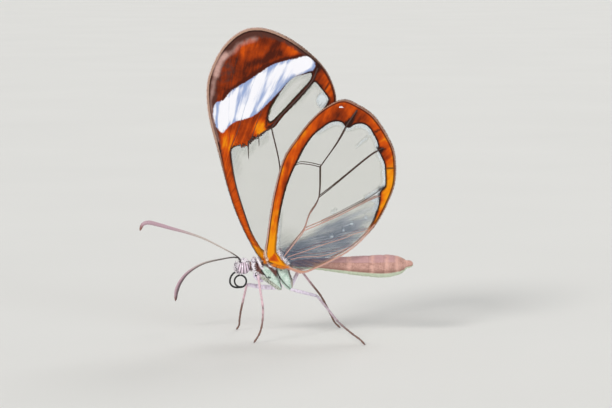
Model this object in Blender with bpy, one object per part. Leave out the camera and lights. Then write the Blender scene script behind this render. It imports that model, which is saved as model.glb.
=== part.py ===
"""A glasswing butterfly at life size, standing with its wings closed over its back.

It faces -X with +Z up, so its left side faces -Y. The origin is on the floor, under the middle of its box.
Lengths below are in millimetres; Blender's unit is the metre.
"""

import math

import bmesh
import bpy
from mathutils import Matrix, Vector
from mathutils.geometry import delaunay_2d_cdt

MM = 0.001

# Gap that pieces keep where they meet face to face
GAP = 0.3

# Body: head, collar, thorax and abdomen follow one another along X
BODY_AXIS_Z = 8.95
HEAD_FRONT_X = -4.98
HEAD_BACK_X = -3.3
HEAD_HALF_HEIGHT = 0.93
FACE_HALF_WIDTH = 0.34
EYE_RADIUS = 0.76
EYE_DEPTH = 0.52
THORAX_FRONT_X = -1.9
THORAX_BACK_X = 1.72
THORAX_HALF_WIDTH = 1.32
THORAX_TOP_Z = 9.46
THORAX_BOTTOM_Z = 7.75
ABDOMEN_TIP_X = 17.2

# Limbs and feelers, which are thickened to what holds together at this size
LIMB_RADIUS = 0.25
COXA_TIP_RADIUS = 0.27
COXA_Y = 0.72
SOLE_HEIGHT = 0.16
FEELER_RADIUS = 0.25
PROBOSCIS_RADIUS = 0.17

# Wings: two sheets on each side, the forewing inside the hindwing
WING_THICKNESS = 0.5
RIDGE_HEIGHT = 0.11
RIDGE_HALF_WIDTH = 0.34
WING_ROOT = (-0.9, 9.7)
FOREWING_ROOT_Y = 0.84
FOREWING_TOP_Y = 0.60
HINDWING_ROOT_Y = 1.88
HINDWING_TOP_Y = 1.66
WING_LEAN_HEIGHT = 5.0
FAR_HINDWING_TURN = math.radians(-0.7)


def clear_scene():
    for old in list(bpy.data.objects):
        bpy.data.objects.remove(old, do_unlink=True)


def material(name, colour, roughness, alpha=1.0):
    """A Principled finish with one base colour."""
    made = bpy.data.materials.get(name) or bpy.data.materials.new(name)
    made.use_nodes = True
    shader = made.node_tree.nodes["Principled BSDF"]
    shader.inputs["Base Color"].default_value = (*colour, 1.0)
    shader.inputs["Roughness"].default_value = roughness
    shader.inputs["Alpha"].default_value = alpha
    return made


def finished(name, shape, finish):
    """An object named for its node, from a bmesh drawn in millimetres."""
    bmesh.ops.remove_doubles(shape, verts=shape.verts, dist=1e-4)
    bmesh.ops.triangulate(shape, faces=shape.faces)
    bmesh.ops.recalc_face_normals(shape, faces=shape.faces)
    shape.transform(Matrix.Scale(MM, 4))
    mesh = bpy.data.meshes.new(name)
    shape.to_mesh(mesh)
    shape.free()
    mesh.materials.append(finish)
    mesh.shade_smooth()
    mesh.set_sharp_from_angle(angle=math.radians(50))
    made = bpy.data.objects.new(name, mesh)
    bpy.context.scene.collection.objects.link(made)
    return made


def smooth_path(points, step, closed=False):
    """Points about a step apart on a smooth curve through the given ones."""
    knots = [Vector(point) for point in points]
    count = len(knots)
    spans = count if closed else count - 1
    path = []
    for index in range(spans):
        if closed:
            before, start, end, after = (knots[(index + shift) % count] for shift in (-1, 0, 1, 2))
        else:
            start, end = knots[index], knots[index + 1]
            before = knots[index - 1] if index else 2 * start - end
            after = knots[index + 2] if index + 2 < count else 2 * end - start
        pieces = max(1, round((end - start).length / step))
        for piece in range(pieces):
            t = piece / pieces
            path.append(0.5 * (
                2 * start + (end - before) * t
                + (2 * before - 5 * start + 4 * end - after) * t * t
                + (3 * start - before - 3 * end + after) * t ** 3
            ))
    if not closed:
        path.append(knots[-1])
    return path


def skin_rings(shape, rings):
    """Faces between rings of points, with both ends closed."""
    loops = [[shape.verts.new(point) for point in ring] for ring in rings]
    sides = len(loops[0])
    for lower, upper in zip(loops, loops[1:]):
        for side in range(sides):
            after = (side + 1) % sides
            shape.faces.new((lower[side], lower[after], upper[after], upper[side]))
    shape.faces.new(list(reversed(loops[0])))
    shape.faces.new(loops[-1])


def add_tube(shape, path, radius_at, sides=8):
    """A round limb along a path, its radius given by a function of the way along it, with rounded ends."""
    lengths = [0.0]
    for start, end in zip(path, path[1:]):
        lengths.append(lengths[-1] + (end - start).length)
    ahead = (path[1] - path[0]).normalized()
    across = ahead.cross(Vector((0, 1, 0)))
    if across.length < 0.2:
        across = ahead.cross(Vector((0, 0, 1)))
    rings = []

    def ring(centre, along, width):
        over = along.cross(across).normalized()
        spokes = [2 * math.pi * (side + 0.5) / sides for side in range(sides)]
        rings.append([centre + width * (math.cos(a) * across + math.sin(a) * over) for a in spokes])

    across.normalize()
    ring(path[0] - ahead * radius_at(0) * 0.6, ahead, radius_at(0) * 0.55)
    for index, centre in enumerate(path):
        before = path[max(index - 1, 0)]
        after = path[min(index + 1, len(path) - 1)]
        along = (after - before).normalized()
        across = (across - across.dot(along) * along).normalized()
        ring(centre, along, radius_at(lengths[index] / lengths[-1]))
    ring(path[-1] + along * radius_at(1) * 0.6, along, radius_at(1) * 0.55)
    skin_rings(shape, rings)


def add_lobe(shape, stations, sides=14, squareness=2.0):
    """A lofted body: each station is centre, half size along X or Z, half size along Y, across one axis."""
    rings = []
    for centre, half_up, half_side, up in stations:
        ring = []
        for side in range(sides):
            angle = 2 * math.pi * (side + 0.5) / sides
            c, s = math.cos(angle), math.sin(angle)
            c = math.copysign(abs(c) ** (2 / squareness), c)
            s = math.copysign(abs(s) ** (2 / squareness), s)
            ring.append(Vector(centre) + half_up * s * Vector(up) + Vector((0, half_side * c, 0)))
        rings.append(ring)
    skin_rings(shape, rings)


def add_ball(shape, centre, half_sizes, columns=16, rows=10):
    """An ellipsoid with its poles along Z."""
    grow = Matrix.Translation(Vector(centre)) @ Matrix.Diagonal((*half_sizes, 1))
    bmesh.ops.create_uvsphere(shape, u_segments=columns, v_segments=rows, radius=1, matrix=grow)


def cut_flat(shape, point, normal):
    """Keeps what lies on the side of a plane that its normal points to, and closes the cut."""
    geometry = list(shape.verts) + list(shape.edges) + list(shape.faces)
    bmesh.ops.bisect_plane(
        shape, geom=geometry, dist=1e-5, plane_co=Vector(point), plane_no=Vector(normal), clear_inner=True
    )
    rim = [edge for edge in shape.edges if edge.is_boundary]
    bmesh.ops.holes_fill(shape, edges=rim, sides=0)


def united(name, pieces, finish):
    """One closed body from overlapping pieces, each a bmesh in millimetres."""
    group = bpy.data.collections.new(name + "_pieces")
    bpy.context.scene.collection.children.link(group)
    base = finished(name, pieces[0], finish)
    for index, piece in enumerate(pieces[1:]):
        extra = finished(f"{name}_piece_{index}", piece, finish)
        bpy.context.scene.collection.objects.unlink(extra)
        group.objects.link(extra)
    union = base.modifiers.new("union", "BOOLEAN")
    union.operation = "UNION"
    union.operand_type = "COLLECTION"
    union.collection = group
    union.solver = "EXACT"
    depsgraph = bpy.context.evaluated_depsgraph_get()
    mesh = bpy.data.meshes.new_from_object(base.evaluated_get(depsgraph))
    base.modifiers.clear()
    base.data = mesh
    for extra in list(group.objects):
        bpy.data.objects.remove(extra, do_unlink=True)
    bpy.data.collections.remove(group)
    keep_largest(mesh)
    return base


def keep_largest(mesh):
    """Leaves only the largest closed surface of a mesh."""
    shape = bmesh.new()
    shape.from_mesh(mesh)
    unseen = set(shape.verts)
    islands = []
    while unseen:
        reached = [unseen.pop()]
        for vert in reached:
            for edge in vert.link_edges:
                other = edge.other_vert(vert)
                if other in unseen:
                    unseen.discard(other)
                    reached.append(other)
        islands.append(reached)
    islands.sort(key=len)
    for island in islands[:-1]:
        bmesh.ops.delete(shape, geom=island, context="VERTS")
    bmesh.ops.remove_doubles(shape, verts=shape.verts, dist=1e-6)
    bmesh.ops.triangulate(shape, faces=shape.faces)
    shape.to_mesh(mesh)
    shape.free()


def sided(point, side):
    """A point drawn for the right side, put on either: side is -1 for the left, 1 for the right."""
    return Vector((point[0], point[1] * side, point[2]))


# Head, eyes, feelers and tongue

HEAD_CENTRE = ((HEAD_FRONT_X + HEAD_BACK_X) / 2, 0, BODY_AXIS_Z)


def make_head(finish):
    """The face between the eyes, round in side view, with two scaly palps that curve up in front of it."""
    face = bmesh.new()
    half_length = (HEAD_BACK_X - HEAD_FRONT_X) / 2
    add_ball(face, HEAD_CENTRE, (half_length, FACE_HALF_WIDTH * 1.9, HEAD_HALF_HEIGHT), 24, 16)
    for side in (-1, 1):
        cut_flat(face, (0, side * FACE_HALF_WIDTH, 0), (0, -side, 0))
    palps = []
    for side in (-1, 1):
        palp = bmesh.new()
        route = ((-4.75, 0.2, 8.62), (-5.05, 0.26, 8.5), (-5.3, 0.29, 8.62), (-5.38, 0.29, 9.0), (-5.28, 0.26, 9.4))
        add_tube(palp, smooth_path([sided(point, side) for point in route], 0.2), lambda t: 0.22 - 0.07 * t, 8)
        palps.append(palp)
    return united("head", [face] + palps, finish)


def make_eye(side, finish):
    """A dome on the flank of the head."""
    eye = bmesh.new()
    inner = FACE_HALF_WIDTH + GAP
    centre = (HEAD_CENTRE[0] + 0.02, side * (inner - 0.12), HEAD_CENTRE[2] - 0.1)
    add_ball(eye, centre, (EYE_RADIUS, EYE_DEPTH + 0.12, EYE_RADIUS * 1.02), 20, 14)
    cut_flat(eye, (0, side * inner, 0), (0, side, 0))
    return finished("eye_" + SIDE_NAMES[side], eye, finish)


def make_antenna(side, route, finish):
    """A long feeler that ends in a slim club, from the front of the crown."""
    antenna = bmesh.new()
    path = smooth_path(route, 0.75)

    def radius(t):
        club = max(0.0, (t - 0.72) / 0.28)
        swell = math.sin(math.pi * min(club, 1.0) ** 0.8) * 0.1
        tip = 1 - 0.3 * max(0.0, (t - 0.93) / 0.07)
        return (FEELER_RADIUS - 0.03 * math.sin(math.pi * t) + swell) * tip

    add_tube(antenna, path, radius, 8)
    return finished("antenna_" + SIDE_NAMES[side], antenna, finish)


def make_proboscis(finish):
    """The tongue, coiled like a watch spring under the head: one wide turn that closes into a tight ring."""
    coil = bmesh.new()
    centre = Vector((-4.55, 0, 6.94))
    first, last = math.radians(130), math.radians(562)
    wide, tight = 1.3, 0.72
    turns = []
    steps = 52
    for index in range(steps + 1):
        angle = first + (last - first) * index / steps
        closing = min(1.0, max(0.0, (math.degrees(angle) - 185) / 85))
        closing = closing * closing * (3 - 2 * closing)
        reach = wide + (tight + 0.06 - wide) * closing
        reach -= 0.06 * max(0.0, (math.degrees(angle) - 270) / 290)
        turns.append(centre + reach * Vector((math.cos(angle), 0, math.sin(angle))))
    add_tube(coil, turns, lambda t: PROBOSCIS_RADIUS - 0.03 * t, 8)
    return finished("proboscis", coil, finish)


# Collar, thorax and abdomen

def make_collar(finish):
    """The narrow first ring of the thorax, with a round plate on each side of its top."""
    ring = bmesh.new()
    up = (0, 0, 1)
    front = HEAD_BACK_X + GAP
    back = THORAX_FRONT_X - GAP
    middle = (front + back) / 2
    add_lobe(ring, [
        ((front, 0, 8.95), 0.45, 0.42, up),
        ((front + 0.12, 0, 8.95), 0.7, 0.68, up),
        ((middle, 0, 8.98), 0.82, 0.85, up),
        ((back - 0.1, 0, 8.95), 0.85, 0.95, up),
        ((back, 0, 8.95), 0.7, 0.8, up),
    ], 18)
    plates = []
    for side in (-1, 1):
        plate = bmesh.new()
        add_ball(plate, (middle, side * 0.38, 9.72), (0.34, 0.36, 0.3), 12, 8)
        plates.append(plate)
    return united("collar", [ring] + plates, finish)


def coxa_stations(root, tip, root_half, tip_half, start, end, count):
    """Stations of a hip lobe between two fractions of its length, widest below its root and flat along Y."""
    root, tip = Vector(root), Vector(tip)
    along = (tip - root).normalized()
    across = along.cross(Vector((0, 1, 0))).normalized()
    stations = []
    for index in range(count):
        t = start + (end - start) * index / (count - 1)
        belly = math.sin(math.pi * min(1.0, 0.25 + 0.75 * t)) ** 0.7 if t < 1 else 0
        half = tip_half + (root_half - tip_half) * belly
        depth = COXA_TIP_RADIUS + 0.12 * belly
        stations.append((root.lerp(tip, t), half, depth, across))
    return stations


COXAE = {
    "mid": dict(root=(-1.35, COXA_Y, 8.75), tip=(0.4, COXA_Y, 6.18), root_half=0.68, tip_half=0.25),
    "hind": dict(root=(0.75, COXA_Y, 8.6), tip=(1.78, COXA_Y, 6.16), root_half=0.5, tip_half=0.24),
}
COXA_CUT = {"mid": 0.66, "hind": 0.56}


def coxa_on(side, pair):
    shape = dict(COXAE[pair])
    shape["root"] = sided(shape["root"], side)
    shape["tip"] = sided(shape["tip"], side)
    return shape


def make_thorax(finish):
    """The deep chest that carries wings and legs, with the upper half of each hip lobe on its flank."""
    chest = bmesh.new()
    up = (0, 0, 1)
    middle = (THORAX_TOP_Z + THORAX_BOTTOM_Z) / 2
    half = (THORAX_TOP_Z - THORAX_BOTTOM_Z) / 2
    add_lobe(chest, [
        ((THORAX_FRONT_X, 0, middle + 0.1), half * 0.62, THORAX_HALF_WIDTH * 0.6, up),
        ((THORAX_FRONT_X + 0.2, 0, middle + 0.05), half * 0.88, THORAX_HALF_WIDTH * 0.85, up),
        ((-1.0, 0, middle), half, THORAX_HALF_WIDTH, up),
        ((0.0, 0, middle), half, THORAX_HALF_WIDTH, up),
        ((0.9, 0, middle + 0.02), half * 0.98, THORAX_HALF_WIDTH * 0.95, up),
        ((THORAX_BACK_X - 0.2, 0, middle + 0.15), half * 0.78, THORAX_HALF_WIDTH * 0.72, up),
        ((THORAX_BACK_X, 0, middle + 0.22), half * 0.5, THORAX_HALF_WIDTH * 0.45, up),
    ], 24, 2.6)
    lobes = []
    for side in (-1, 1):
        for pair in COXAE:
            lobe = bmesh.new()
            coxa = coxa_on(side, pair)
            length = (coxa["tip"] - coxa["root"]).length
            end = COXA_CUT[pair] - 0.5 * GAP / length
            add_lobe(lobe, coxa_stations(**coxa, start=0.08, end=end, count=5), 14)
            lobes.append(lobe)
    return united("thorax", [chest] + lobes, finish)


ABDOMEN = (
    # x, middle height, half height, half width
    (THORAX_BACK_X + GAP, 9.12, 0.36, 0.38),
    (2.3, 9.15, 0.46, 0.5),
    (3.3, 9.2, 0.57, 0.6),
    (5.5, 9.18, 0.73, 0.72),
    (8.6, 9.04, 1.05, 0.86),
    (10.8, 8.95, 1.25, 0.98),
    (13.0, 8.92, 1.43, 1.06),
    (14.5, 8.97, 1.37, 1.02),
    (15.6, 9.01, 1.06, 0.85),
    (16.05, 9.04, 0.82, 0.69),
    (16.35, 9.13, 0.56, 0.48),
    (16.8, 9.18, 0.46, 0.39),
    (ABDOMEN_TIP_X, 9.2, 0.17, 0.17),
)
SEGMENT_ENDS = (4.4, 6.6, 8.7, 11.6, 13.45, 14.75, 15.9)


def make_abdomen(finish):
    """A slim abdomen that swells towards its end, with a shallow crease behind each segment."""
    body = bmesh.new()
    profile = smooth_path([Vector((x, half_height, half_width)) for x, _, half_height, half_width in ABDOMEN], 0.42)
    heights = [(x, middle) for x, middle, _, _ in ABDOMEN]
    stations = []
    for point in profile:
        x, half_height, half_width = point
        after = next((i for i, (at, _) in enumerate(heights) if at >= x), len(heights) - 1)
        before = max(after - 1, 0)
        span = heights[after][0] - heights[before][0] or 1.0
        t = min(1.0, max(0.0, (x - heights[before][0]) / span))
        middle = heights[before][1] * (1 - t) + heights[after][1] * t
        crease = max(math.exp(-((x - end) / 0.2) ** 2) for end in SEGMENT_ENDS)
        size = 1 - 0.045 * crease
        stations.append(((x, 0, middle), half_height * size, half_width * size, (0, 0, 1)))
    add_lobe(body, stations, 20)
    return finished("abdomen", body, finish)


# Legs: knee, shin and foot of each, from the hip outwards, drawn for the side that it stands on

LEGS = {
    ("mid", -1): ((-2.24, -4.0, 8.4), (-1.64, -4.8, 4.3), (-1.72, -5.1, 2.3), (-2.2, -5.3, 0.2), (-3.0, -5.4, 0.0)),
    ("hind", -1): ((5.1, -3.7, 5.65), (7.8, -5.5, 2.68), (9.25, -6.2, 1.45), (10.5, -6.75, 0.2), (11.3, -7.15, 0.0)),
    ("mid", 1): ((-3.8, 2.4, 6.25), (-4.5, 4.1, 2.6), (-4.65, 4.75, 1.25), (-4.7, 5.05, 0.2), (-5.25, 5.5, 0.0)),
    ("hind", 1): ((2.9, 3.7, 8.15), (5.7, 5.1, 4.3), (6.9, 5.9, 1.9), (7.5, 6.4, 0.2), (8.2, 6.95, 0.0)),
}


def make_leg(pair, side, finish):
    """A walking leg: the lower half of the hip lobe, then thigh, shin and a foot that lies on the floor."""
    coxa = coxa_on(side, pair)
    length = (coxa["tip"] - coxa["root"]).length
    start = COXA_CUT[pair] + 0.5 * GAP / length
    hip = bmesh.new()
    add_lobe(hip, coxa_stations(**coxa, start=start, end=0.97, count=6), 14)
    knee, shin, ankle, heel, toe = (Vector(point) for point in LEGS[pair, side])
    toe.z = SOLE_HEIGHT
    limb = bmesh.new()
    hip_end = coxa["tip"]
    thigh = [hip_end.lerp(knee, t) for t in (0, 0.25, 0.5, 0.75, 0.93)]
    path = smooth_path(thigh + [knee, knee.lerp(shin, 0.12), knee.lerp(shin, 0.5), shin, ankle, heel, toe], 0.7)
    add_tube(limb, path, lambda t: LIMB_RADIUS * (1.06 - 0.16 * t), 8)
    cut_flat(limb, (0, 0, 0), (0, 0, 1))
    return united(f"{pair}leg_{SIDE_NAMES[side]}", [hip, limb], finish)


def make_foreleg(side, finish):
    """The short front leg, which a brush-footed butterfly keeps folded under its collar."""
    leg = bmesh.new()
    route = ((-2.75, 0.62, 7.82), (-2.6, 0.7, 7.5), (-2.3, 0.78, 7.25), (-1.9, 0.8, 7.1))
    add_tube(leg, smooth_path([sided(point, side) for point in route], 0.3), lambda t: LIMB_RADIUS - 0.05 * t, 8)
    return finished("foreleg_" + SIDE_NAMES[side], leg, finish)


# Wings, drawn in side view as (x, z)

FOREWING_EDGE = (
    (-1.75, 9.75), (-2.8, 11.0), (-4.5, 14.3), (-5.9, 18.1), (-7.3, 23.3), (-8.35, 27.3), (-8.7, 30.3), (-8.4, 33.0),
    (-6.8, 36.3), (-4.5, 38.4), (-2.0, 38.9), (0.9, 38.0), (3.7, 36.2), (6.1, 33.8), (7.4, 30.9), (7.3, 28.8),
    (5.8, 27.3), (4.1, 25.8), (2.7, 23.7), (1.5, 21.3), (0.6, 18.6), (0.1, 15.6), (-0.25, 12.5), (-0.75, 9.9),
)
FOREWING_VEINS = (
    ((-2.0, 10.4), (-3.4, 13.8), (-5.1, 19.3), (-5.75, 24.0), (-5.9, 28.5), (-5.5, 32.5), (-4.4, 36.6)),
    ((-5.7, 23.8), (-4.6, 26.6), (-3.6, 30.0), (-2.0, 34.2), (-0.6, 37.9)),
    ((-3.3, 24.5), (-2.0, 28.0), (0.2, 32.4), (2.4, 36.4)),
    ((-5.7, 23.8), (-3.3, 24.5), (-0.6, 26.4)),
    ((-1.4, 10.4), (-0.75, 13.5), (0.0, 17.5), (0.45, 21.3), (-0.6, 26.4), (0.7, 28.1), (2.6, 30.0), (4.4, 32.1), (5.2, 33.9)),
    ((0.45, 21.3), (2.95, 24.85), (5.45, 28.05), (6.7, 30.2)),
)
HINDWING_EDGE = (
    (-1.15, 9.6), (-1.48, 10.7), (-1.22, 12.6), (-0.85, 15.4), (-0.25, 18.7), (0.9, 22.7), (2.7, 25.5), (4.5, 27.7), (6.3, 29.2),
    (8.3, 30.0),
    (10.2, 29.3), (12.1, 28.0), (13.8, 25.6), (14.8, 23.2), (14.9, 19.8), (14.0, 17.1), (12.6, 14.5), (10.5, 12.1),
    (8.3, 10.5), (5.4, 9.1), (3.2, 8.4), (1.6, 8.75), (0.3, 8.95), (-0.4, 9.2),
)
HINDWING_VEINS = (
    ((-0.5, 10.4), (-0.1, 15.0), (0.35, 18.2), (1.0, 20.6), (2.2, 22.9), (4.2, 25.6), (6.5, 27.8)),
    ((5.5, 21.6), (7.5, 24.5), (8.8, 26.8), (10.1, 28.6)),
    ((5.5, 21.6), (4.2, 21.9), (2.9, 22.0), (2.1, 21.9)),
    ((5.4, 18.0), (7.3, 19.5), (11.0, 22.5), (12.6, 23.6), (14.2, 24.2)),
    ((5.5, 21.6), (5.4, 18.0), (4.1, 15.4), (3.5, 13.6), (2.5, 12.3), (1.0, 10.4)),
    ((3.5, 13.6), (6.6, 15.1), (10.5, 17.1), (12.7, 18.2), (14.0, 18.8)),
    ((1.4, 10.3), (3.8, 11.1), (8.3, 12.6), (11.4, 13.6)),
)


def distance_to(point, line):
    """How far a point lies from a run of straight pieces."""
    best = math.inf
    for start, end in zip(line, line[1:]):
        span = end - start
        t = max(0.0, min(1.0, (point - start).dot(span) / max(span.length_squared, 1e-9)))
        best = min(best, (point - start - t * span).length)
    return best


def inside(point, outline):
    """Whether a point lies inside a closed outline."""
    odd = False
    for start, end in zip(outline, outline[1:] + outline[:1]):
        if (start.y > point.y) != (end.y > point.y):
            crossing = start.x + (point.y - start.y) * (end.x - start.x) / (end.y - start.y)
            odd ^= crossing > point.x
    return odd


def wing_net(edge, veins):
    """Flat points and triangles of a wing, with the feet and the crest of each vein as edges of the net."""
    outline = smooth_path([Vector(point) for point in edge], 1.1, closed=True)
    rim = outline + outline[:1]
    lines = [smooth_path([Vector(point) for point in vein], 1.3) for vein in veins]
    points = list(outline)
    edges = []
    margin = RIDGE_HALF_WIDTH * 1.1
    for line in lines:
        for shift in (-1, 0, 1):
            chain = []
            for index, point in enumerate(line):
                along = (line[min(index + 1, len(line) - 1)] - line[max(index - 1, 0)]).normalized()
                spot = point + shift * RIDGE_HALF_WIDTH * Vector((-along.y, along.x))
                clear = all(distance_to(spot, other) > RIDGE_HALF_WIDTH * 0.8 for other in lines if other is not line)
                if inside(spot, outline) and distance_to(spot, rim) > margin and (clear or shift == 0):
                    chain.append(len(points))
                    points.append(spot)
                else:
                    chain.append(None)
            edges += [(a, b) for a, b in zip(chain, chain[1:]) if a is not None and b is not None]
    spacing = 2.3
    columns = [-9 + spacing * index for index in range(12)]
    rows = [8 + spacing * index for index in range(15)]
    for x in columns:
        for z in rows:
            spot = Vector((x, z))
            if not inside(spot, outline) or distance_to(spot, rim) < 0.9:
                continue
            if min(distance_to(spot, line) for line in lines) > 0.9:
                points.append(spot)
    loop = list(range(len(outline)))
    flat, _, faces, _, _, _ = delaunay_2d_cdt(points, edges, [loop], 1, 1e-4)
    return [Vector(point) for point in flat], faces, lines


def add_wing(shape, edge, veins, side, root_y, top_y, turn):
    """A leaning sheet with its veins raised on both faces, alike on each, and a square rim."""
    flat, faces, lines = wing_net(edge, veins)
    root = Vector(WING_ROOT)
    swing = Matrix.Rotation(turn, 2)
    skins = {}
    for face_side in (-1, 1):
        skin = []
        for point in flat:
            near = min(distance_to(point, line) for line in lines)
            half = WING_THICKNESS / 2 + RIDGE_HEIGHT * max(0.0, 1 - near / RIDGE_HALF_WIDTH)
            lean = math.exp(-max(0.0, point.y - root.y) / WING_LEAN_HEIGHT)
            middle = top_y + (root_y - top_y) * lean
            turned = root + swing @ (point - root)
            skin.append(shape.verts.new((turned.x, side * (middle + face_side * half), turned.y)))
        skins[face_side] = skin
        for face in faces:
            shape.faces.new([skin[index] for index in (face if face_side > 0 else reversed(face))])
    counts = {}
    for face in faces:
        for a, b in zip(face, face[1:] + face[:1]):
            counts[frozenset((a, b))] = counts.get(frozenset((a, b)), 0) + 1
    for pair, count in counts.items():
        if count == 1:
            a, b = pair
            shape.faces.new((skins[-1][a], skins[-1][b], skins[1][b], skins[1][a]))


def make_wing(kind, side, finish):
    wing = bmesh.new()
    if kind == "forewing":
        add_wing(wing, FOREWING_EDGE, FOREWING_VEINS, side, FOREWING_ROOT_Y, FOREWING_TOP_Y, 0.0)
    else:
        turn = FAR_HINDWING_TURN if side > 0 else 0.0
        add_wing(wing, HINDWING_EDGE, HINDWING_VEINS, side, HINDWING_ROOT_Y, HINDWING_TOP_Y, turn)
    return finished(f"{kind}_{SIDE_NAMES[side]}", wing, finish)


SIDE_NAMES = {-1: "left", 1: "right"}
ANTENNA_ROUTES = {
    -1: ((-4.82, -0.4, 10.02), (-6.3, -0.8, 11.0), (-9.0, -1.4, 12.55), (-11.2, -1.9, 13.4), (-13.0, -2.3, 13.95),
         (-14.8, -2.6, 14.5), (-15.9, -2.8, 14.75), (-16.6, -2.9, 14.5), (-16.95, -3.0, 13.75)),
    1: ((-4.84, 0.42, 9.98), (-5.5, 0.95, 10.0), (-6.64, 1.8, 9.75), (-9.25, 3.4, 8.85), (-11.2, 4.6, 7.6), (-12.3, 5.1, 6.3),
        (-12.85, 5.4, 5.0), (-13.0, 5.5, 3.7)),
}


def main():
    clear_scene()
    scales = material("body_scales", (0.16, 0.1, 0.1), 0.7)
    pale = material("pale_scales", (0.6, 0.68, 0.64), 0.65)
    dark = material("dark_scales", (0.05, 0.035, 0.035), 0.5)
    leg_skin = material("leg_skin", (0.45, 0.3, 0.34), 0.5)
    glass = material("wing_membrane", (0.5, 0.25, 0.05), 0.3, 0.6)
    make_head(pale)
    make_collar(pale)
    make_thorax(pale)
    make_abdomen(scales)
    make_proboscis(dark)
    for side in (-1, 1):
        make_eye(side, dark)
        make_antenna(side, ANTENNA_ROUTES[side], leg_skin)
        make_foreleg(side, leg_skin)
        make_leg("mid", side, leg_skin)
        make_leg("hind", side, leg_skin)
        make_wing("forewing", side, glass)
        make_wing("hindwing", side, glass)


main()
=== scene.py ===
# %% [markdown]
# A glasswing butterfly at life size, standing with its wings closed over its back.
# The solid model from the CAD step is the frame: it says where every part sits and how large it is.
# This lesson dresses that frame. The wings get clear panes, veins and a pattern of scales, the body gets one
# skin with fine scales standing on it, and the legs, feelers and tongue get their real, slender shapes.

# %% Load the frame
import math

import bpy
import numpy as np
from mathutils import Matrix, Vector
from mathutils.geometry import delaunay_2d_cdt


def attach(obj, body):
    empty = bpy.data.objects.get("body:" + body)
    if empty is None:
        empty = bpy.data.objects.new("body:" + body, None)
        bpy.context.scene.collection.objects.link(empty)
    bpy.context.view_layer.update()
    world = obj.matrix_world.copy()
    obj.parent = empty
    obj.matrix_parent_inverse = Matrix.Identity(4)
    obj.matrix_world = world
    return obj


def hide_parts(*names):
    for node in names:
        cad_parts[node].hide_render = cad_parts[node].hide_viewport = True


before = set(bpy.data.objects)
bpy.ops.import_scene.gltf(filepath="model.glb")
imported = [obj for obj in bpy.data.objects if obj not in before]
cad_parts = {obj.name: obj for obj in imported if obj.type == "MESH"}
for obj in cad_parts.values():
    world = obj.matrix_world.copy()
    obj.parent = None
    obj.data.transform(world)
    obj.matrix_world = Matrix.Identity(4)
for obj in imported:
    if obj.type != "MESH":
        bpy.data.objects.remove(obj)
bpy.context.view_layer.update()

# %% [markdown]
# The butterfly is only 39 mm high, so every length below is written in millimetres and turned into Blender's
# metres when a mesh is made. It faces -X, so the left side, which the camera sees, faces -Y.

# %% Units, colours and seeded chance
MM = 0.001
LEFT, RIGHT = -1, 1
SIDE_NAMES = {LEFT: "left", RIGHT: "right"}
chance = np.random.default_rng(7)


def colour(red, green, blue):
    """A colour read as 0-255 on a screen, as the linear light that a shader takes."""
    parts = np.array((red, green, blue)) / 255
    linear = np.where(parts <= 0.04045, parts / 12.92, ((parts + 0.055) / 1.055) ** 2.4)
    return (*linear.tolist(), 1.0)


def smooth(low, high, value):
    """0 below low, 1 above high, and an even slope between."""
    t = np.clip((value - low) / (high - low), 0, 1)
    return t * t * (3 - 2 * t)


print("One millimetre is", MM, "Blender units; middle grey is", round(colour(128, 128, 128)[0], 3))

# %% [markdown]
# The camera stands where the photographer stood: facing the left side, a little above the wings and looking
# down by six degrees. Its lens is long, so near and far parts are seen at almost the same scale.

# %% Camera
CAMERA_LENS = 150
CAMERA_DISTANCE = 320.025
CAMERA_ELEVATION = math.radians(6)
CAMERA_AIM = Vector((3.727, 0, 16.783))

camera_data = bpy.data.cameras.new("camera")
camera_data.lens = CAMERA_LENS
camera_data.sensor_width = 36
camera_data.clip_start = 0.01
camera_data.clip_end = 20
camera = bpy.data.objects.new("camera", camera_data)
bpy.context.scene.collection.objects.link(camera)
back = Vector((0, -math.cos(CAMERA_ELEVATION), math.sin(CAMERA_ELEVATION)))
camera.location = (CAMERA_AIM + back * CAMERA_DISTANCE) * MM
camera.rotation_mode = "QUATERNION"
camera.rotation_quaternion = (-back).to_track_quat("-Z", "Y")
bpy.context.scene.camera = camera
print("The camera is", round(camera.location.length, 3), "m from the origin")

# %% [markdown]
# A museum model is photographed in soft light. Area lamps could give it, but a sun shines the same way
# everywhere, so three broad suns light every part evenly, and their wide angles keep the shadows soft. The
# sky is brightest low down, where it stands behind the wings.

# %% Lamps and surroundings
LAMP_AIM = Vector((0, 0, 0.018))


def lamp(name, place, spread, strength, tint):
    """A broad sun that shines from a place towards the butterfly. The spread is an angle in degrees."""
    data = bpy.data.lights.new(name, "SUN")
    data.angle = math.radians(spread)
    data.energy = strength
    data.color = tint
    made = bpy.data.objects.new(name, data)
    made.location = place
    made.rotation_mode = "QUATERNION"
    made.rotation_quaternion = (LAMP_AIM - Vector(place)).to_track_quat("-Z", "Y")
    bpy.context.scene.collection.objects.link(made)


lamp("key", (-0.75, -0.95, 0.85), 18, 1.5, (1.0, 0.975, 0.94))
lamp("fill", (0.9, -0.9, 0.5), 30, 0.5, (0.95, 0.98, 1.0))
lamp("rim", (0.5, 0.95, 0.9), 24, 0.65, (1.0, 1.0, 1.0))

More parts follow.
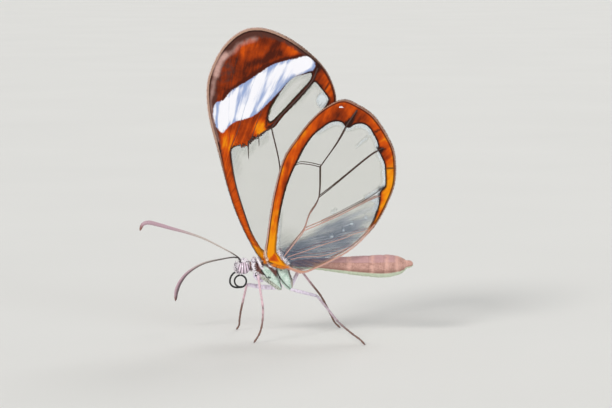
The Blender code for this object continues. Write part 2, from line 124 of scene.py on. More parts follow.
world = bpy.data.worlds.new("studio")
world.use_nodes = True
sky = world.node_tree.nodes
heights = sky.new("ShaderNodeSeparateXYZ")
fade = sky.new("ShaderNodeMapRange")
fade.inputs["From Min"].default_value, fade.inputs["From Max"].default_value = 0.1, 0.7
fade.inputs["To Min"].default_value, fade.inputs["To Max"].default_value = 0.76, 0.4
world.node_tree.links.new(sky.new("ShaderNodeTexCoord").outputs["Generated"], heights.inputs[0])
world.node_tree.links.new(heights.outputs["Z"], fade.inputs["Value"])
world.node_tree.links.new(fade.outputs["Result"], sky["Background"].inputs["Strength"])
sky["Background"].inputs["Color"].default_value = (1.0, 1.0, 0.985, 1.0)
bpy.context.scene.world = world
bpy.context.scene.view_settings.view_transform = "Standard"
bpy.context.scene.cycles.transparent_max_bounces = 32
print("Three lamps, and clear wings may lie up to 32 faces deep")

# %% [markdown]
# Materials are written as sums. A Wire stands for what comes out of one socket, so that `1 - mask` or
# `noise * 0.3` add the Math nodes by themselves. Colours go through a Mix node instead, because a Math node
# turns them grey. One method makes any other node: first its settings, then what goes into its sockets.


# %% Wires and finishes
class Wire:
    """What leaves one socket of a material's nodes. Arithmetic on it adds Math nodes."""

    def __init__(self, finish, socket):
        self.finish, self.socket = finish, socket

    def maths(self, operation, *values):
        return self.finish.node("ShaderNodeMath", {"operation": operation}, dict(enumerate(values)))

    def __add__(self, other):
        return self.maths("ADD", self, other)

    def __sub__(self, other):
        return self.maths("SUBTRACT", self, other)

    def __rsub__(self, other):
        return self.maths("SUBTRACT", other, self)

    def __mul__(self, other):
        return self.maths("MULTIPLY", self, other)

    def at_least(self, other):
        return self.maths("MAXIMUM", self, other)

    __radd__ = __add__
    __rmul__ = __mul__


class Finish:
    """A Principled material under the brush."""

    def __init__(self, name):
        self.material = bpy.data.materials.new(name)
        self.material.use_nodes = True
        self.tree = self.material.node_tree
        self.shader = self.tree.nodes["Principled BSDF"]

    def node(self, kind, settings, sockets, outlet=0):
        made = self.tree.nodes.new(kind)
        for name, value in settings.items():
            setattr(made, name, value)
        for name, value in sockets.items():
            if isinstance(value, Wire):
                self.tree.links.new(value.socket, made.inputs[name])
            else:
                made.inputs[name].default_value = value
        return Wire(self, made.outputs[outlet])

    def field(self, name, outlet="Fac"):
        """A number that the mesh carries at each of its points."""
        return self.node("ShaderNodeAttribute", {"attribute_name": name}, {}, outlet)

    def slope(self, low, high, value):
        """0 below low, 1 above high, and an even slope between."""
        spans = {"Value": value, "From Min": low, "From Max": high}
        return self.node("ShaderNodeMapRange", {"interpolation_type": "SMOOTHSTEP"}, spans)

    def mix(self, share, first, second):
        """The first colour, giving way to the second as share goes from 0 to 1."""
        return self.node("ShaderNodeMix", {"data_type": "RGBA"}, {0: share, 6: first, 7: second}, 2)

    def place(self):
        """The point on the mesh, in millimetres."""
        spot = self.node("ShaderNodeTexCoord", {}, {}, "Object")
        return self.node("ShaderNodeVectorMath", {"operation": "SCALE"}, {0: spot, "Scale": 1 / MM})

    def stretch(self, vector, scale):
        return self.node("ShaderNodeVectorMath", {"operation": "MULTIPLY"}, {0: vector, 1: scale})

    def noise(self, vector, scale, detail=2.0, roughness=0.5):
        sockets = {"Vector": vector, "Scale": scale, "Detail": detail, "Roughness": roughness}
        return self.node("ShaderNodeTexNoise", {}, sockets)

    def cells(self, vector, scale, outlet="Distance"):
        return self.node("ShaderNodeTexVoronoi", {}, {"Vector": vector, "Scale": scale}, outlet)

    def feed(self, **values):
        """Links or sets sockets of the shader, whose names are written with _ for a space."""
        for name, value in values.items():
            socket = self.shader.inputs[name.replace("_", " ")]
            if isinstance(value, Wire):
                self.tree.links.new(value.socket, socket)
            else:
                socket.default_value = value

    def relief(self, height, depth, strength=1.0):
        """Shades the surface as if it rose by height times depth, in millimetres."""
        sockets = {"Height": height, "Distance": depth * MM, "Strength": strength}
        self.feed(Normal=self.node("ShaderNodeBump", {}, sockets))


print("Wires and finishes are ready")

# %% [markdown]
# Most pieces are drawn point by point with numpy, and a single helper turns them into a Blender mesh. It also
# stores the numbers that the materials read, and an unwrap named OFBake.


# %% From points to a piece
def piece(name, points, faces, finish, fields=None, unwrap=None, sharp=None):
    """A mesh object from points in millimetres, with numbers at its points and a place for each corner."""
    mesh = bpy.data.meshes.new(name)
    mesh.from_pydata((np.asarray(points) * MM).tolist(), [], [list(map(int, face)) for face in faces])
    for field, values in (fields or {}).items():
        layer = mesh.attributes.new(field, "FLOAT", "POINT")
        layer.data.foreach_set("value", np.asarray(values, np.float32))
    if unwrap is not None:
        layer = mesh.uv_layers.new(name="OFBake")
        layer.data.foreach_set("uv", np.asarray(unwrap, np.float32).ravel())
    mesh.materials.append(finish.material)
    mesh.shade_smooth()
    if sharp:
        mesh.set_sharp_from_angle(angle=math.radians(sharp))
    made = bpy.data.objects.new(name, mesh)
    bpy.context.scene.collection.objects.link(made)
    return made


def settle(made, slot, *nodes):
    """Hangs a piece on the only body and hides the nodes of the frame that it stands for. The slot is not
    used.
    """
    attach(made, "root")
    if nodes:
        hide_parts(*nodes)
    print(f"{made.name}: {len(made.data.polygons)} faces")
    return made


print("Points are written", round(1 / MM), "times larger than they stand in Blender")

# %% [markdown]
# Outlines, veins, legs and feelers are each given by a few points with a smooth curve through them. Blender's
# curves could draw such lines, but the pattern of the wings also needs to know how far any point lies from a
# line and whether it lies inside an outline. These helpers do both.


# %% Curves and distances
def unit(vectors):
    """Rows of vectors, each cut to a length of 1."""
    return vectors / np.linalg.norm(vectors, axis=1)[:, None]


def travelled_along(line):
    """How far along a line each of its points lies."""
    return np.concatenate(((0,), np.cumsum(np.linalg.norm(np.diff(line, axis=0), axis=1))))


def read_along(at, steps, table):
    """Rows of a table, read between its steps."""
    return np.stack([np.interp(at, steps, table[:, axis]) for axis in range(table.shape[1])], 1)


def smooth_line(points, step, closed=False):
    """Points about a step apart on a smooth curve through the given ones."""
    knots = np.array(points, float)
    count = len(knots)
    path = []
    for index in range(count if closed else count - 1):
        start, end = knots[index], knots[(index + 1) % count]
        before = knots[index - 1] if closed or index else 2 * start - end
        after = knots[(index + 2) % count] if closed or index + 2 < count else 2 * end - start
        pieces = max(1, round(np.linalg.norm(end - start) / step))
        t = (np.arange(pieces) / pieces)[:, None]
        path.append(0.5 * (
            2 * start + (end - before) * t
            + (2 * before - 5 * start + 4 * end - after) * t ** 2
            + (3 * start - before - 3 * end + after) * t ** 3
        ))
    if not closed:
        path.append(knots[-1:])
    return np.vstack(path)


def distance_to(points, line):
    """How far points lie from a line, and how far along it, from 0 to 1, the nearest place is."""
    points = np.asarray(points, float)
    line = np.asarray(line, float)
    best = np.full(len(points), np.inf)
    along = np.zeros(len(points))
    lengths = np.linalg.norm(np.diff(line, axis=0), axis=1)
    travelled = travelled_along(line) / lengths.sum()
    for index, (start, end) in enumerate(zip(line, line[1:])):
        span = end - start
        t = np.clip((points - start) @ span / max(span @ span, 1e-12), 0, 1)
        far = np.linalg.norm(points - start - t[:, None] * span, axis=1)
        nearer = far < best
        best = np.where(nearer, far, best)
        along = np.where(nearer, travelled[index] + t * (travelled[index + 1] - travelled[index]), along)
    return best, along


def inside(points, outline):
    """Which points lie inside a closed outline."""
    odd = np.zeros(len(points), bool)
    x, z = points[:, 0], points[:, 1]
    for (ax, az), (bx, bz) in zip(outline, np.roll(outline, -1, axis=0)):
        crosses = (az > z) != (bz > z)
        rise = bz - az if bz != az else 1.0
        odd ^= crosses & (ax + (z - az) * (bx - ax) / rise > x)
    return odd


def signed(points, outline):
    """Distance to a closed outline, positive inside it."""
    rim = np.vstack((outline, outline[:1]))
    far, _ = distance_to(points, rim)
    return np.where(inside(points, outline), far, -far)


ring = [(math.cos(a), math.sin(a)) for a in np.linspace(0, math.tau, 8, endpoint=False)]
print("A smooth ring through 8 points has", len(smooth_line(ring, 0.1, closed=True)), "points")

# %% [markdown]
# On the real insect a wing is a clear membrane stretched between veins, and only its borders carry coloured
# scales. The outlines and veins below are those of the solids, drawn in side view as (x, z). The pattern
# could be painted on an image, but here it is measured: each point of the mesh stores how far it lies inside
# a pane, a band or the rim, and the finish turns those distances into lines and fields.

# %% Outlines and veins of the wings
FOREWING_EDGE = (
    (-1.75, 9.75), (-2.8, 11.0), (-4.5, 14.3), (-5.9, 18.1), (-7.3, 23.3), (-8.35, 27.3), (-8.7, 30.3),
    (-8.4, 33.0), (-6.8, 36.3), (-4.5, 38.4), (-2.0, 38.9), (0.9, 38.0), (3.7, 36.2), (6.1, 33.8),
    (7.4, 30.9), (7.3, 28.8), (5.8, 27.3), (4.1, 25.8), (2.7, 23.7), (1.5, 21.3), (0.6, 18.6),
    (0.1, 15.6), (-0.25, 12.5), (-0.75, 9.9),
)
HINDWING_EDGE = (
    (-1.15, 9.6), (-1.48, 10.7), (-1.22, 12.6), (-0.85, 15.4), (-0.25, 18.7), (0.9, 22.7), (2.7, 25.5),
    (4.5, 27.7), (6.3, 29.2), (8.3, 30.0), (10.2, 29.3), (12.1, 28.0), (13.8, 25.6),
    (14.8, 23.2), (14.9, 19.8), (14.0, 17.1), (12.6, 14.5), (10.5, 12.1), (8.3, 10.45), (5.4, 9.0),
    (3.3, 8.2), (1.8, 8.6), (0.3, 8.95), (-0.4, 9.2),
)
# Each vein: half width at its root and at its end, how pink it is at each, and its route
FOREWING_VEINS = (
    (0.06, 0.06, 0.2, 0.0, (
        (-2.0, 10.4), (-3.4, 13.8), (-5.1, 19.3), (-5.75, 24.0), (-5.9, 28.5), (-5.5, 32.5), (-4.4, 36.6),
    )),
    (0.08, 0.05, 0.0, 0.0, ((-5.7, 23.8), (-4.6, 26.6), (-3.6, 30.0), (-2.0, 34.2), (-0.6, 37.9))),
    (0.08, 0.05, 0.0, 0.0, ((-3.3, 24.5), (-2.0, 28.0), (0.2, 32.4), (2.4, 36.4))),
    (0.08, 0.1, 0.0, 0.0, ((-3.3, 24.5), (-2.0, 25.6), (-0.6, 26.4))),
    (0.06, 0.07, 0.3, 0.0, ((-1.4, 10.4), (-0.75, 13.5), (0.0, 17.5), (0.45, 21.3), (-0.6, 26.4))),
    (0.1, 0.12, 0.0, 0.0, ((-0.6, 26.4), (0.7, 28.1), (2.6, 30.0), (4.4, 32.1), (5.2, 33.9))),
    (0.07, 0.07, 0.0, 0.0, ((0.45, 21.3), (2.95, 24.85), (5.45, 28.05), (6.4, 29.5), (6.7, 30.2))),
    (0.08, 0.02, 0.0, 0.0, ((-3.45, 24.6), (-3.5, 23.6), (-3.45, 22.5))),
    (0.05, 0.03, 0.0, 0.0, ((-2.2, 25.2), (-2.15, 24.6), (-2.15, 24.1))),
)
HINDWING_VEINS = (
    (0.03, 0.05, 0.4, 0.0, ((-0.1, 15.0), (0.35, 18.2), (1.0, 20.6), (2.2, 22.9), (4.2, 25.6), (6.5, 27.8))),
    (0.065, 0.13, 0.0, 0.0, ((5.5, 21.6), (7.5, 24.5), (8.8, 26.8), (9.6, 28.0), (10.1, 28.7))),
    (0.06, 0.045, 0.0, 0.0, ((5.5, 21.6), (4.2, 21.9), (2.9, 22.0), (2.1, 21.6))),
    (0.06, 0.09, 0.0, 0.0, ((5.3, 17.75), (7.3, 19.35), (11.0, 22.45), (12.6, 23.6), (13.4, 24.0))),
    (0.075, 0.06, 1.0, 0.0, (
        (1.0, 10.4), (2.5, 12.3), (3.45, 13.6), (4.1, 15.5), (5.3, 17.75), (5.45, 21.6),
    )),
    (0.06, 0.075, 0.8, 0.5, (
        (3.45, 13.6), (6.6, 14.95), (8.5, 15.85), (10.6, 16.95), (12.3, 17.75), (13.0, 17.95),
    )),
    (0.025, 0.055, 0.4, 0.0, (
        (5.6, 14.6), (7.6, 15.6), (9.4, 16.55), (10.6, 17.2), (12.0, 18.05), (13.0, 18.75),
    )),
    (0.05, 0.04, 1.0, 0.7, ((1.4, 10.3), (3.8, 11.1), (6.0, 11.9), (8.3, 12.6), (10.0, 13.3), (12.0, 13.8))),
    (0.05, 0.03, 1.0, 0.8, ((1.8, 10.0), (3.2, 10.3), (6.0, 10.5), (9.4, 11.6))),
    (0.075, 0.04, 1.0, 0.5, (
        (-1.22, 10.2), (-1.3, 10.9), (-1.07, 12.6), (-0.7, 15.4), (-0.1, 18.65), (1.03, 22.6), (2.8, 25.3),
    )),
    (0.06, 0.07, 1.0, 1.0, (
        (12.3, 14.45), (10.35, 12.2), (8.2, 10.6), (5.4, 9.15), (3.3, 8.34), (1.85, 8.74), (0.6, 9.1),
    )),
)
print("Forewing and hindwing have", len(FOREWING_VEINS), "and", len(HINDWING_VEINS), "veins")

# %% [markdown]
# The panes are the clear cells. In the forewing one long pane lies below the white band and one small pane
# beyond its cross vein. In the hindwing the panes run together, parted only by the veins.

# %% Panes and the white band
FOREWING_PANES = (
    (
        (-1.75, 10.9), (-2.4, 11.8), (-3.4, 13.8), (-4.3, 16.6), (-5.1, 19.3), (-5.5, 21.8), (-5.65, 23.4),
        (-5.2, 24.05), (-4.6, 24.15), (-3.6, 24.15), (-3.1, 24.9), (-2.0, 25.4), (-1.2, 26.0), (-0.7, 26.35),
        (-0.2, 26.5), (1.0, 28.0), (2.8, 29.9), (4.5, 31.9), (4.82, 32.2), (5.4, 31.6), (6.3, 30.45),
        (6.55, 29.9), (6.2, 29.2), (5.3, 27.6), (3.7, 26.0), (2.25, 23.9), (1.0, 21.4), (0.15, 18.8),
        (-0.4, 15.7), (-0.75, 12.6), (-1.2, 10.9),
    ),
    (
        (-1.0, 27.5), (-0.87, 28.5), (-0.3, 29.6), (0.64, 31.0), (1.57, 32.2), (2.4, 32.8), (3.55, 33.1),
        (4.35, 33.3), (4.5, 33.0), (4.15, 32.2), (3.2, 31.15), (2.05, 29.9), (0.9, 28.6), (-0.3, 27.4),
        (-0.75, 27.1),
    ),
)
HINDWING_PANES = (
    (
        (0.0, 10.9), (0.1, 12.8), (0.33, 14.8), (0.66, 16.7), (1.12, 18.6), (1.6, 20.0), (2.05, 21.1),
        (2.75, 22.5), (3.4, 23.8), (4.5, 25.4), (5.8, 26.5), (6.7, 27.1), (7.6, 27.3), (8.3, 27.1),
        (8.6, 26.7), (9.1, 26.5), (9.8, 26.9), (10.8, 27.0), (11.6, 26.5), (12.1, 25.7), (12.6, 24.7),
        (12.8, 23.7), (13.1, 22.9), (13.5, 22.0), (13.6, 21.0), (13.6, 19.2), (13.1, 18.7), (12.9, 18.2),
        (12.9, 17.6), (12.7, 16.5), (12.4, 15.6),
        (12.1, 14.7), (11.5, 13.6), (11.0, 12.7), (10.0, 11.8), (8.7, 10.9), (7.5, 10.3), (5.7, 9.42),
        (4.2, 8.75), (3.3, 8.55), (2.1, 8.9), (1.2, 9.45), (0.65, 10.1), (0.3, 10.6),
    ),
)
WHITE_BAND = (
    (-6.8, 25.7), (-7.6, 26.8), (-7.9, 28.3), (-7.6, 29.5), (-6.6, 29.9), (-5.6, 31.0), (-3.9, 32.1),
    (-2.5, 33.0), (-1.0, 34.0), (0.4, 34.6), (2.1, 35.0), (3.7, 35.4), (4.6, 34.9), (4.9, 34.3), (4.6, 33.6),
    (3.5, 33.2), (2.3, 32.75), (1.3, 31.95), (0.45, 30.95), (-0.35, 30.1), (-1.4, 29.1), (-2.5, 28.1),
    (-3.9, 27.5), (-5.2, 27.1), (-6.3, 26.2),
)


def panes_at(flat, panes):
    """How far points lie inside the nearest pane; negative on the scaled parts."""
    return np.max([signed(flat, smooth_line(pane, 0.3, closed=True)) for pane in panes], axis=0)


def spot_at(flat, centre, half_sizes, turn=0.0):
    """1 in the middle of a soft round spot, 0 outside it."""
    x, z = (flat - centre).T
    c, s = math.cos(turn), math.sin(turn)
    reach = ((x * c + z * s) / half_sizes[0]) ** 2 + ((z * c - x * s) / half_sizes[1]) ** 2
    return smooth(0, 1, 1 - reach)


print("The white band is drawn with", len(WHITE_BAND), "points")

# %% [markdown]
# What the finish needs beside distances is drawn with the same soft spots: where the scales glow amber, where
# they are mauve, and where a haze of pale scales lies over a clear pane.


# %% Fields of the forewing
def stroke_at(flat, route, half, core=0.4, reach=1.7):
    """1 on a drawn stroke, 0 away from it. It fades from core to reach, in half widths."""
    far, _ = distance_to(flat, smooth_line(route, 0.3))
    return smooth(half * reach, half * core, far)


def spots_at(flat, spots):
    """The sum of soft spots, each given as how much it adds, its centre, half sizes and turn."""
    return sum(amount * spot_at(flat, *spot) for amount, *spot in spots)


FOREWING_GLOWS = (
    (0.6, (-2.0, 26.3), (1.0, 1.5)), (0.3, (-5.8, 24.6), (1.2, 2.2)), (0.4, (2.2, 36.1), (2.0, 1.0)),
    (0.3, (-3.2, 36.0), (2.6, 1.6)), (0.35, (6.6, 32.0), (1.3, 2.6)), (-0.3, (-1.0, 35.2), (3.4, 0.7), 0.35),
    (-0.25, (5.2, 34.6), (0.8, 1.4)),
)
DARK_STROKES = (
    # how dark, half width, route
    (1.0, 0.13, ((-1.25, 26.7), (-1.1, 27.9), (-0.5, 29.4), (0.3, 30.6))),
    (1.0, 0.18, ((-1.1, 26.4), (-0.3, 26.9), (0.8, 28.2), (2.7, 30.05), (4.5, 32.2), (5.3, 34.4))),
    (0.8, 0.3, ((4.9, 33.4), (5.35, 34.3), (4.9, 35.2), (4.0, 35.9))),
    (0.9, 0.12, ((6.0, 31.1), (6.65, 32.1))),
)
BAND_FOOT = ((3.4, 33.2), (2.3, 32.75), (1.3, 31.95), (0.5, 31.0))
BLUSH_STROKES = (
    (0.7, 0.22, ((-7.98, 30.6), (-7.86, 31.6), (-7.66, 32.7), (-7.45, 33.6))),
    (1.05, 0.3, ((-7.5, 33.1), (-7.15, 34.3), (-6.75, 35.0), (-6.3, 35.5))),
    (0.6, 0.28, ((-5.9, 35.6), (-5.2, 36.0), (-4.7, 36.7), (-4.1, 37.0), (-3.3, 37.3), (-2.5, 37.5))),
    (0.65, 0.16, ((-8.1, 30.5), (-8.22, 29.3), (-7.98, 28.0), (-7.76, 26.4), (-7.3, 24.8))),
)


def forewing_fields(flat, edge, pane):
    """The numbers that the finish reads, for flat points of the forewing."""
    x, z = flat.T
    white = signed(flat, smooth_line(WHITE_BAND, 0.3, closed=True))
    fan = np.arctan2(z - 14.5, x + 8.5)
    reach = np.hypot(x + 8.5, z - 14.5)
    glow = 0.72 - 0.17 * smooth(11, 24, z) - 0.3 * smooth(24, 30, z) + 0.5 * smooth(12.6, 10.4, z)
    glow = glow + spots_at(flat, FOREWING_GLOWS) - 0.5 * smooth(0.6, 0.0, -white) * smooth(29.5, 31, z)
    width = 0.35 + 0.85 * smooth(22, 31, z) - 0.5 * smooth(-3.5, 1.5, x)
    mauve = smooth(-0.55, 0.3, width - edge) * smooth(19, 25, z) * (1 - smooth(3.5, 6.5, x))
    mauve = np.maximum(mauve, 0.5 * spot_at(flat, (-6.2, 33.5), (1.5, 2.8), -0.35))
    blush = [share * stroke_at(flat, route, half, 0.0, 3.0) for share, half, route in BLUSH_STROKES]
    blush = np.max(blush, axis=0)
    haze_and_sheen = 0.3 * smooth(1.6, 0.0, pane) * smooth(19.5, 23, z) * (x < -1)
    haze_and_sheen += 0.22 * smooth(0.8, 0.0, pane) * smooth(28, 31, z)
    haze_and_sheen += 2.6 * spot_at(flat, (5.75, 29.75), (0.8, 1.05))
    bare = (np.clip(blush, 0, 1), 0.75 * smooth(23, 19, z), 0.85 * stroke_at(flat, BAND_FOOT, 0.32))
    return dict(
        white=white, fan=fan, reach=reach, glow=glow, mauve=mauve, blush=blush, haze_and_sheen=haze_and_sheen,
        pure=1 - 0.8 * smooth(-6.3, -3.2, x) + 0.45 * smooth(1.8, 3.2, x),
        dark=np.max([share * stroke_at(flat, route, half) for share, half, route in DARK_STROKES], axis=0),
        rough=spot_at(flat, (-3.4, 24.7), (2.6, 1.5), 0.4), plain=np.zeros(len(flat)),
        bare=np.max(bare, axis=0), tan=smooth(18, 25, z) * (1 - 0.8 * smooth(0.5, 4.5, x)),
    )


print("The forewing has", len(DARK_STROKES), "dark strokes and", len(BLUSH_STROKES), "of blush")

# %% [markdown]
# The hindwing has amber borders round one wide clear field. Dark wedges sit where veins meet the border, a
# pale blush follows the lower rim, and low on the clear part lies a blue-grey haze, a painted reflection,
# with a few loose specks of scales in it.

# %% Fields of the hindwing
DARK_WEDGES = (
    ((8.3, 27.0), (8.75, 26.6), (9.2, 26.5), (9.6, 27.2), (10.2, 28.6), (9.4, 27.9)),
    ((12.5, 24.1), (12.75, 23.5), (13.05, 23.35), (13.6, 23.85), (13.05, 24.05)),
    ((13.75, 19.3), (13.2, 19.05), (12.6, 18.75), (12.95, 18.65), (13.35, 18.75), (13.6, 19.0)),
    ((12.9, 18.3), (12.75, 18.1), (12.85, 17.3), (13.05, 17.7)),
)
HAZE_STROKES = (
    # how strong, half width, route
    (0.35, 0.14, ((10.5, 24.6), (11.7, 25.6))), (0.35, 0.14, ((10.0, 24.1), (11.2, 25.0))),
    (0.9, 0.17, ((11.2, 17.75), (12.6, 18.5))), (0.9, 0.17, ((12.1, 17.5), (12.7, 17.0))),
)
DARK_TICKS = (((12.35, 26.0), (13.35, 26.5)), ((13.6, 21.35), (14.8, 21.5)))
ROOT_WEDGE = ((-1.05, 9.85), (-0.2, 10.85), (0.35, 9.7))


def specks_at(flat):
    """A few pale specks of loose scales that lie on the clear part."""
    places = ((9.45, 14.5), (8.4, 13.65), (6.95, 12.85), (7.42, 16.1), (7.05, 15.85), (11.2, 15.2))
    return np.max([spot_at(flat, place, (0.24, 0.2)) for place in places], axis=0)


def hindwing_fields(flat, edge, pane):
    """The same numbers for flat points of the hindwing."""
    x, z = flat.T
    white = np.maximum(-1.0, 0.3 * spot_at(flat, (8.1, 29.05), (0.48, 0.24), -0.1) - 0.1)
    white = np.where(white > -0.09, white, -1.0)
    fan = np.arctan2(z - 11.0, x + 1.0)
    reach = np.hypot(x + 1.0, z - 11.0)
    across = edge / np.maximum(edge - pane, 0.05)
    upper = smooth(12, 20, z) * (1 - smooth(12.5, 14.0, x) * smooth(23.5, 20.5, z))
    glow = 1.05 - upper * (0.12 + 0.5 * across) - 0.2 * smooth(25, 29, z) + 0.3 * smooth(14.0, 11.5, z)
    glow -= 0.25 * spot_at(flat, (13.6, 23.5), (1.6, 1.6))
    glow -= 0.68 * smooth(-0.12, 0.06, signed(flat, np.array(ROOT_WEDGE)))
    low_margin = smooth(14.4, 13.4, z) * smooth(0.8, 1.5, x)
    # Painted reflection: the haze low on the clear part and near the root is a blue-grey sheen, not scales.
    reflection_side = smooth(-0.5, 0.9, 11.2 + 0.6 * (x - 1.0) - z)
    haze_and_sheen = 0.62 * reflection_side * smooth(14.5, 8.0, x) * smooth(-0.05, 0.5, pane)
    haze_and_sheen += 0.3 * smooth(4.2, 0, np.hypot(x - 1, z - 10.5)) + 0.9 * specks_at(flat)
    haze_and_sheen += 0.75 * smooth(0.7, 0.0, pane) * smooth(9.0, 13.0, x) * smooth(13, 17, z)
    haze_and_sheen += 0.8 * smooth(0.8, 0.0, pane) * smooth(25.3, 26.5, z)
    haze_and_sheen += 0.7 * smooth(0.5, 0.1, pane) * smooth(1.8, 0.9, x) * smooth(16.5, 13, z)
    haze_and_sheen += sum(share * stroke_at(flat, route, half) for share, half, route in HAZE_STROKES)
    dark = [smooth(-0.12, 0.05, signed(flat, np.array(wedge))) for wedge in DARK_WEDGES]
    dark += [0.9 * stroke_at(flat, tick, 0.11) for tick in DARK_TICKS]
    none = np.zeros(len(flat))
    return dict(
        white=white, fan=fan, reach=reach, glow=glow, mauve=none, blush=low_margin, haze_and_sheen=haze_and_sheen,
        pure=none + 1, dark=np.max(dark, axis=0), rough=none, plain=none + 1,
        bare=np.maximum(low_margin, 0.45 * smooth(15.5, 13, z) * smooth(-0.4, 0.0, x)),
        tan=1 - 0.8 * smooth(1.6, 0.6, x) * smooth(22, 19, z) * smooth(10, 11, z),
    )


print("Fields are drawn")

# %% [markdown]
# A wing is far thinner than a sheet of paper, and it is never quite flat: it leans out from the body at its
# root and ripples between its veins. The sheet is a net of small triangles cut to the outline, doubled and
# closed at the rim, so that it stays a real solid however thin it is.

# %% The sheet of a wing
WING_ROOT = np.array((-0.9, 9.7))
WING_LEANS = {"forewing": (0.84, 0.60), "hindwing": (1.88, 1.66)}
LEAN_HEIGHT = 5.0
FAR_HINDWING_TURN = math.radians(-0.7)
CLEAR_HALF = 0.025
SCALED_HALF = 0.06
FRINGE = 0.11
NET_STEP = 0.23


def turned(flat, kind, side):
    """The far hindwing is swung back by a hair, so that its edge shows beside the near one."""
    angle = FAR_HINDWING_TURN if kind == "hindwing" and side == RIGHT else 0.0
    c, s = math.cos(angle), math.sin(angle)
    return WING_ROOT + (flat - WING_ROOT) @ np.array(((c, s), (-s, c)))


def middle_of(flat, kind):
    """How far out from the body's mid plane the wing lies."""
    root_y, top_y = WING_LEANS[kind]
    x, z = flat.T
    lean = np.exp(-np.maximum(0, z - WING_ROOT[1]) / LEAN_HEIGHT)
    ripple = np.sin(np.arctan2(z - 9.0, x + 2.0) * 17) * 0.05 * smooth(12, 20, z)
    return top_y + (root_y - top_y) * lean + ripple


def in_space(flat, kind, side, off=0.0):
    """Flat points of a wing, put where they lie."""
    spot = turned(flat, kind, side)
    return np.stack((spot[:, 0], side * middle_of(flat, kind) + off, spot[:, 1]), 1)


def net(edge):
    """Flat points and triangles that fill an outline, a little inside it, where the fringe will reach it."""
    outline = smooth_line(edge, 0.22, closed=True)
    ahead = np.roll(outline, -1, axis=0) - np.roll(outline, 1, axis=0)
    normal = unit(np.stack((-ahead[:, 1], ahead[:, 0]), 1))
    inward = normal if inside(outline[:1] + normal[:1] * 0.01, outline)[0] else -normal
    loop = outline + inward * FRINGE
    low, high = loop.min(0), loop.max(0)
    rows = np.arange(low[1], high[1], NET_STEP * 0.866)
    columns = np.arange(low[0], high[0], NET_STEP)
    grid = np.array([(x + (row % 2) * NET_STEP / 2, z) for row, z in enumerate(rows) for x in columns])
    grid = grid[signed(grid, loop) > NET_STEP * 0.5]
    points = [Vector(spot) for spot in np.vstack((loop, grid))]
    flat, _, faces, _, _, _ = delaunay_2d_cdt(points, [], [list(range(len(loop)))], 1, 1e-5)
    return np.array([tuple(spot) for spot in flat]), np.array(faces), outline, -inward


print("A forewing's net has", len(net(FOREWING_EDGE)[0]), "points")

# %% [markdown]
# The net is a single layer. A Solidify modifier could thicken it, but a wing is thinner where it is clear,
# and the unwrap has to lay one face beside the other. So the net is doubled by hand, each point by its own
# amount, and a narrow strip joins the two layers all round.


# %% Both faces and the rim
def shell(flat, faces, middle, half, side):
    """Closes a net into a thin solid, with the corners of its unwrap: one face beside the other."""
    count = len(flat)
    points = [np.stack((flat[:, 0], side * (middle + way * half), flat[:, 1]), 1) for way in (1, -1)]
    outer = faces if side > 0 else faces[:, ::-1]
    edges = np.vstack((outer[:, (0, 1)], outer[:, (1, 2)], outer[:, (2, 0)])).tolist()
    known = {(a, b) for a, b in edges}
    rim = [(a, b) for a, b in edges if (b, a) not in known]
    polygons = outer.tolist() + (outer[:, ::-1] + count).tolist()
    polygons += [[b, a, a + count, b + count] for a, b in rim]
    low = flat.min(0)
    size = max(2.06 * (flat[:, 0].max() - low[0]), (flat[:, 1].max() - low[1])) * 1.02
    front = (flat - low) / size + 0.005
    other = front + ((flat[:, 0].max() - low[0]) * 1.03 / size, 0)
    centre = front.mean(0)
    corners = [front[outer].reshape(-1, 2), other[outer[:, ::-1]].reshape(-1, 2)]
    for a, b in rim:
        apart = [0.0015 * (front[i] - centre) / np.linalg.norm(front[i] - centre) for i in (a, b)]
        corners.append(np.array((front[b], front[a], front[a] + apart[0], front[b] + apart[1])))
    return np.vstack(points), polygons, np.vstack(corners)


print("A wing is", 2 * CLEAR_HALF, "mm thick where it is clear and", 2 * SCALED_HALF, "mm under scales")

# %% [markdown]
# Scales on a butterfly are tiny tiles laid in rows that fan out from the wing's root. Each is flat and a
# little glossy, and their rows give the orange its fine streaks. The finish lays down rust and amber by the
# stored glow and streaks them along the fan. Mauve, blush and the white band come over them, and then the
# dark lines that follow every pane and the wing's own rim. Clear panes keep a faint tint, because even a
# clear membrane dims what lies behind it.

# %% The finish of the wings
AMBER = colour(238, 148, 4)
ORANGE = colour(206, 80, 2)
RUST = colour(146, 50, 2)
DEEP_RUST = colour(76, 24, 6)
EDGE_BROWN = colour(44, 20, 14)
MAUVE = colour(84, 48, 40)
BLUSH = colour(214, 172, 162)
TAN = colour(176, 142, 124)
SNOW = colour(243, 243, 250)
ICE = colour(124, 150, 202)
MEMBRANE = colour(118, 126, 88)
HAZE = colour(214, 222, 226)
# The blue-grey of a painted reflection low on the hindwing's clear part
SLATE_REFLECTION = colour(70, 88, 112)


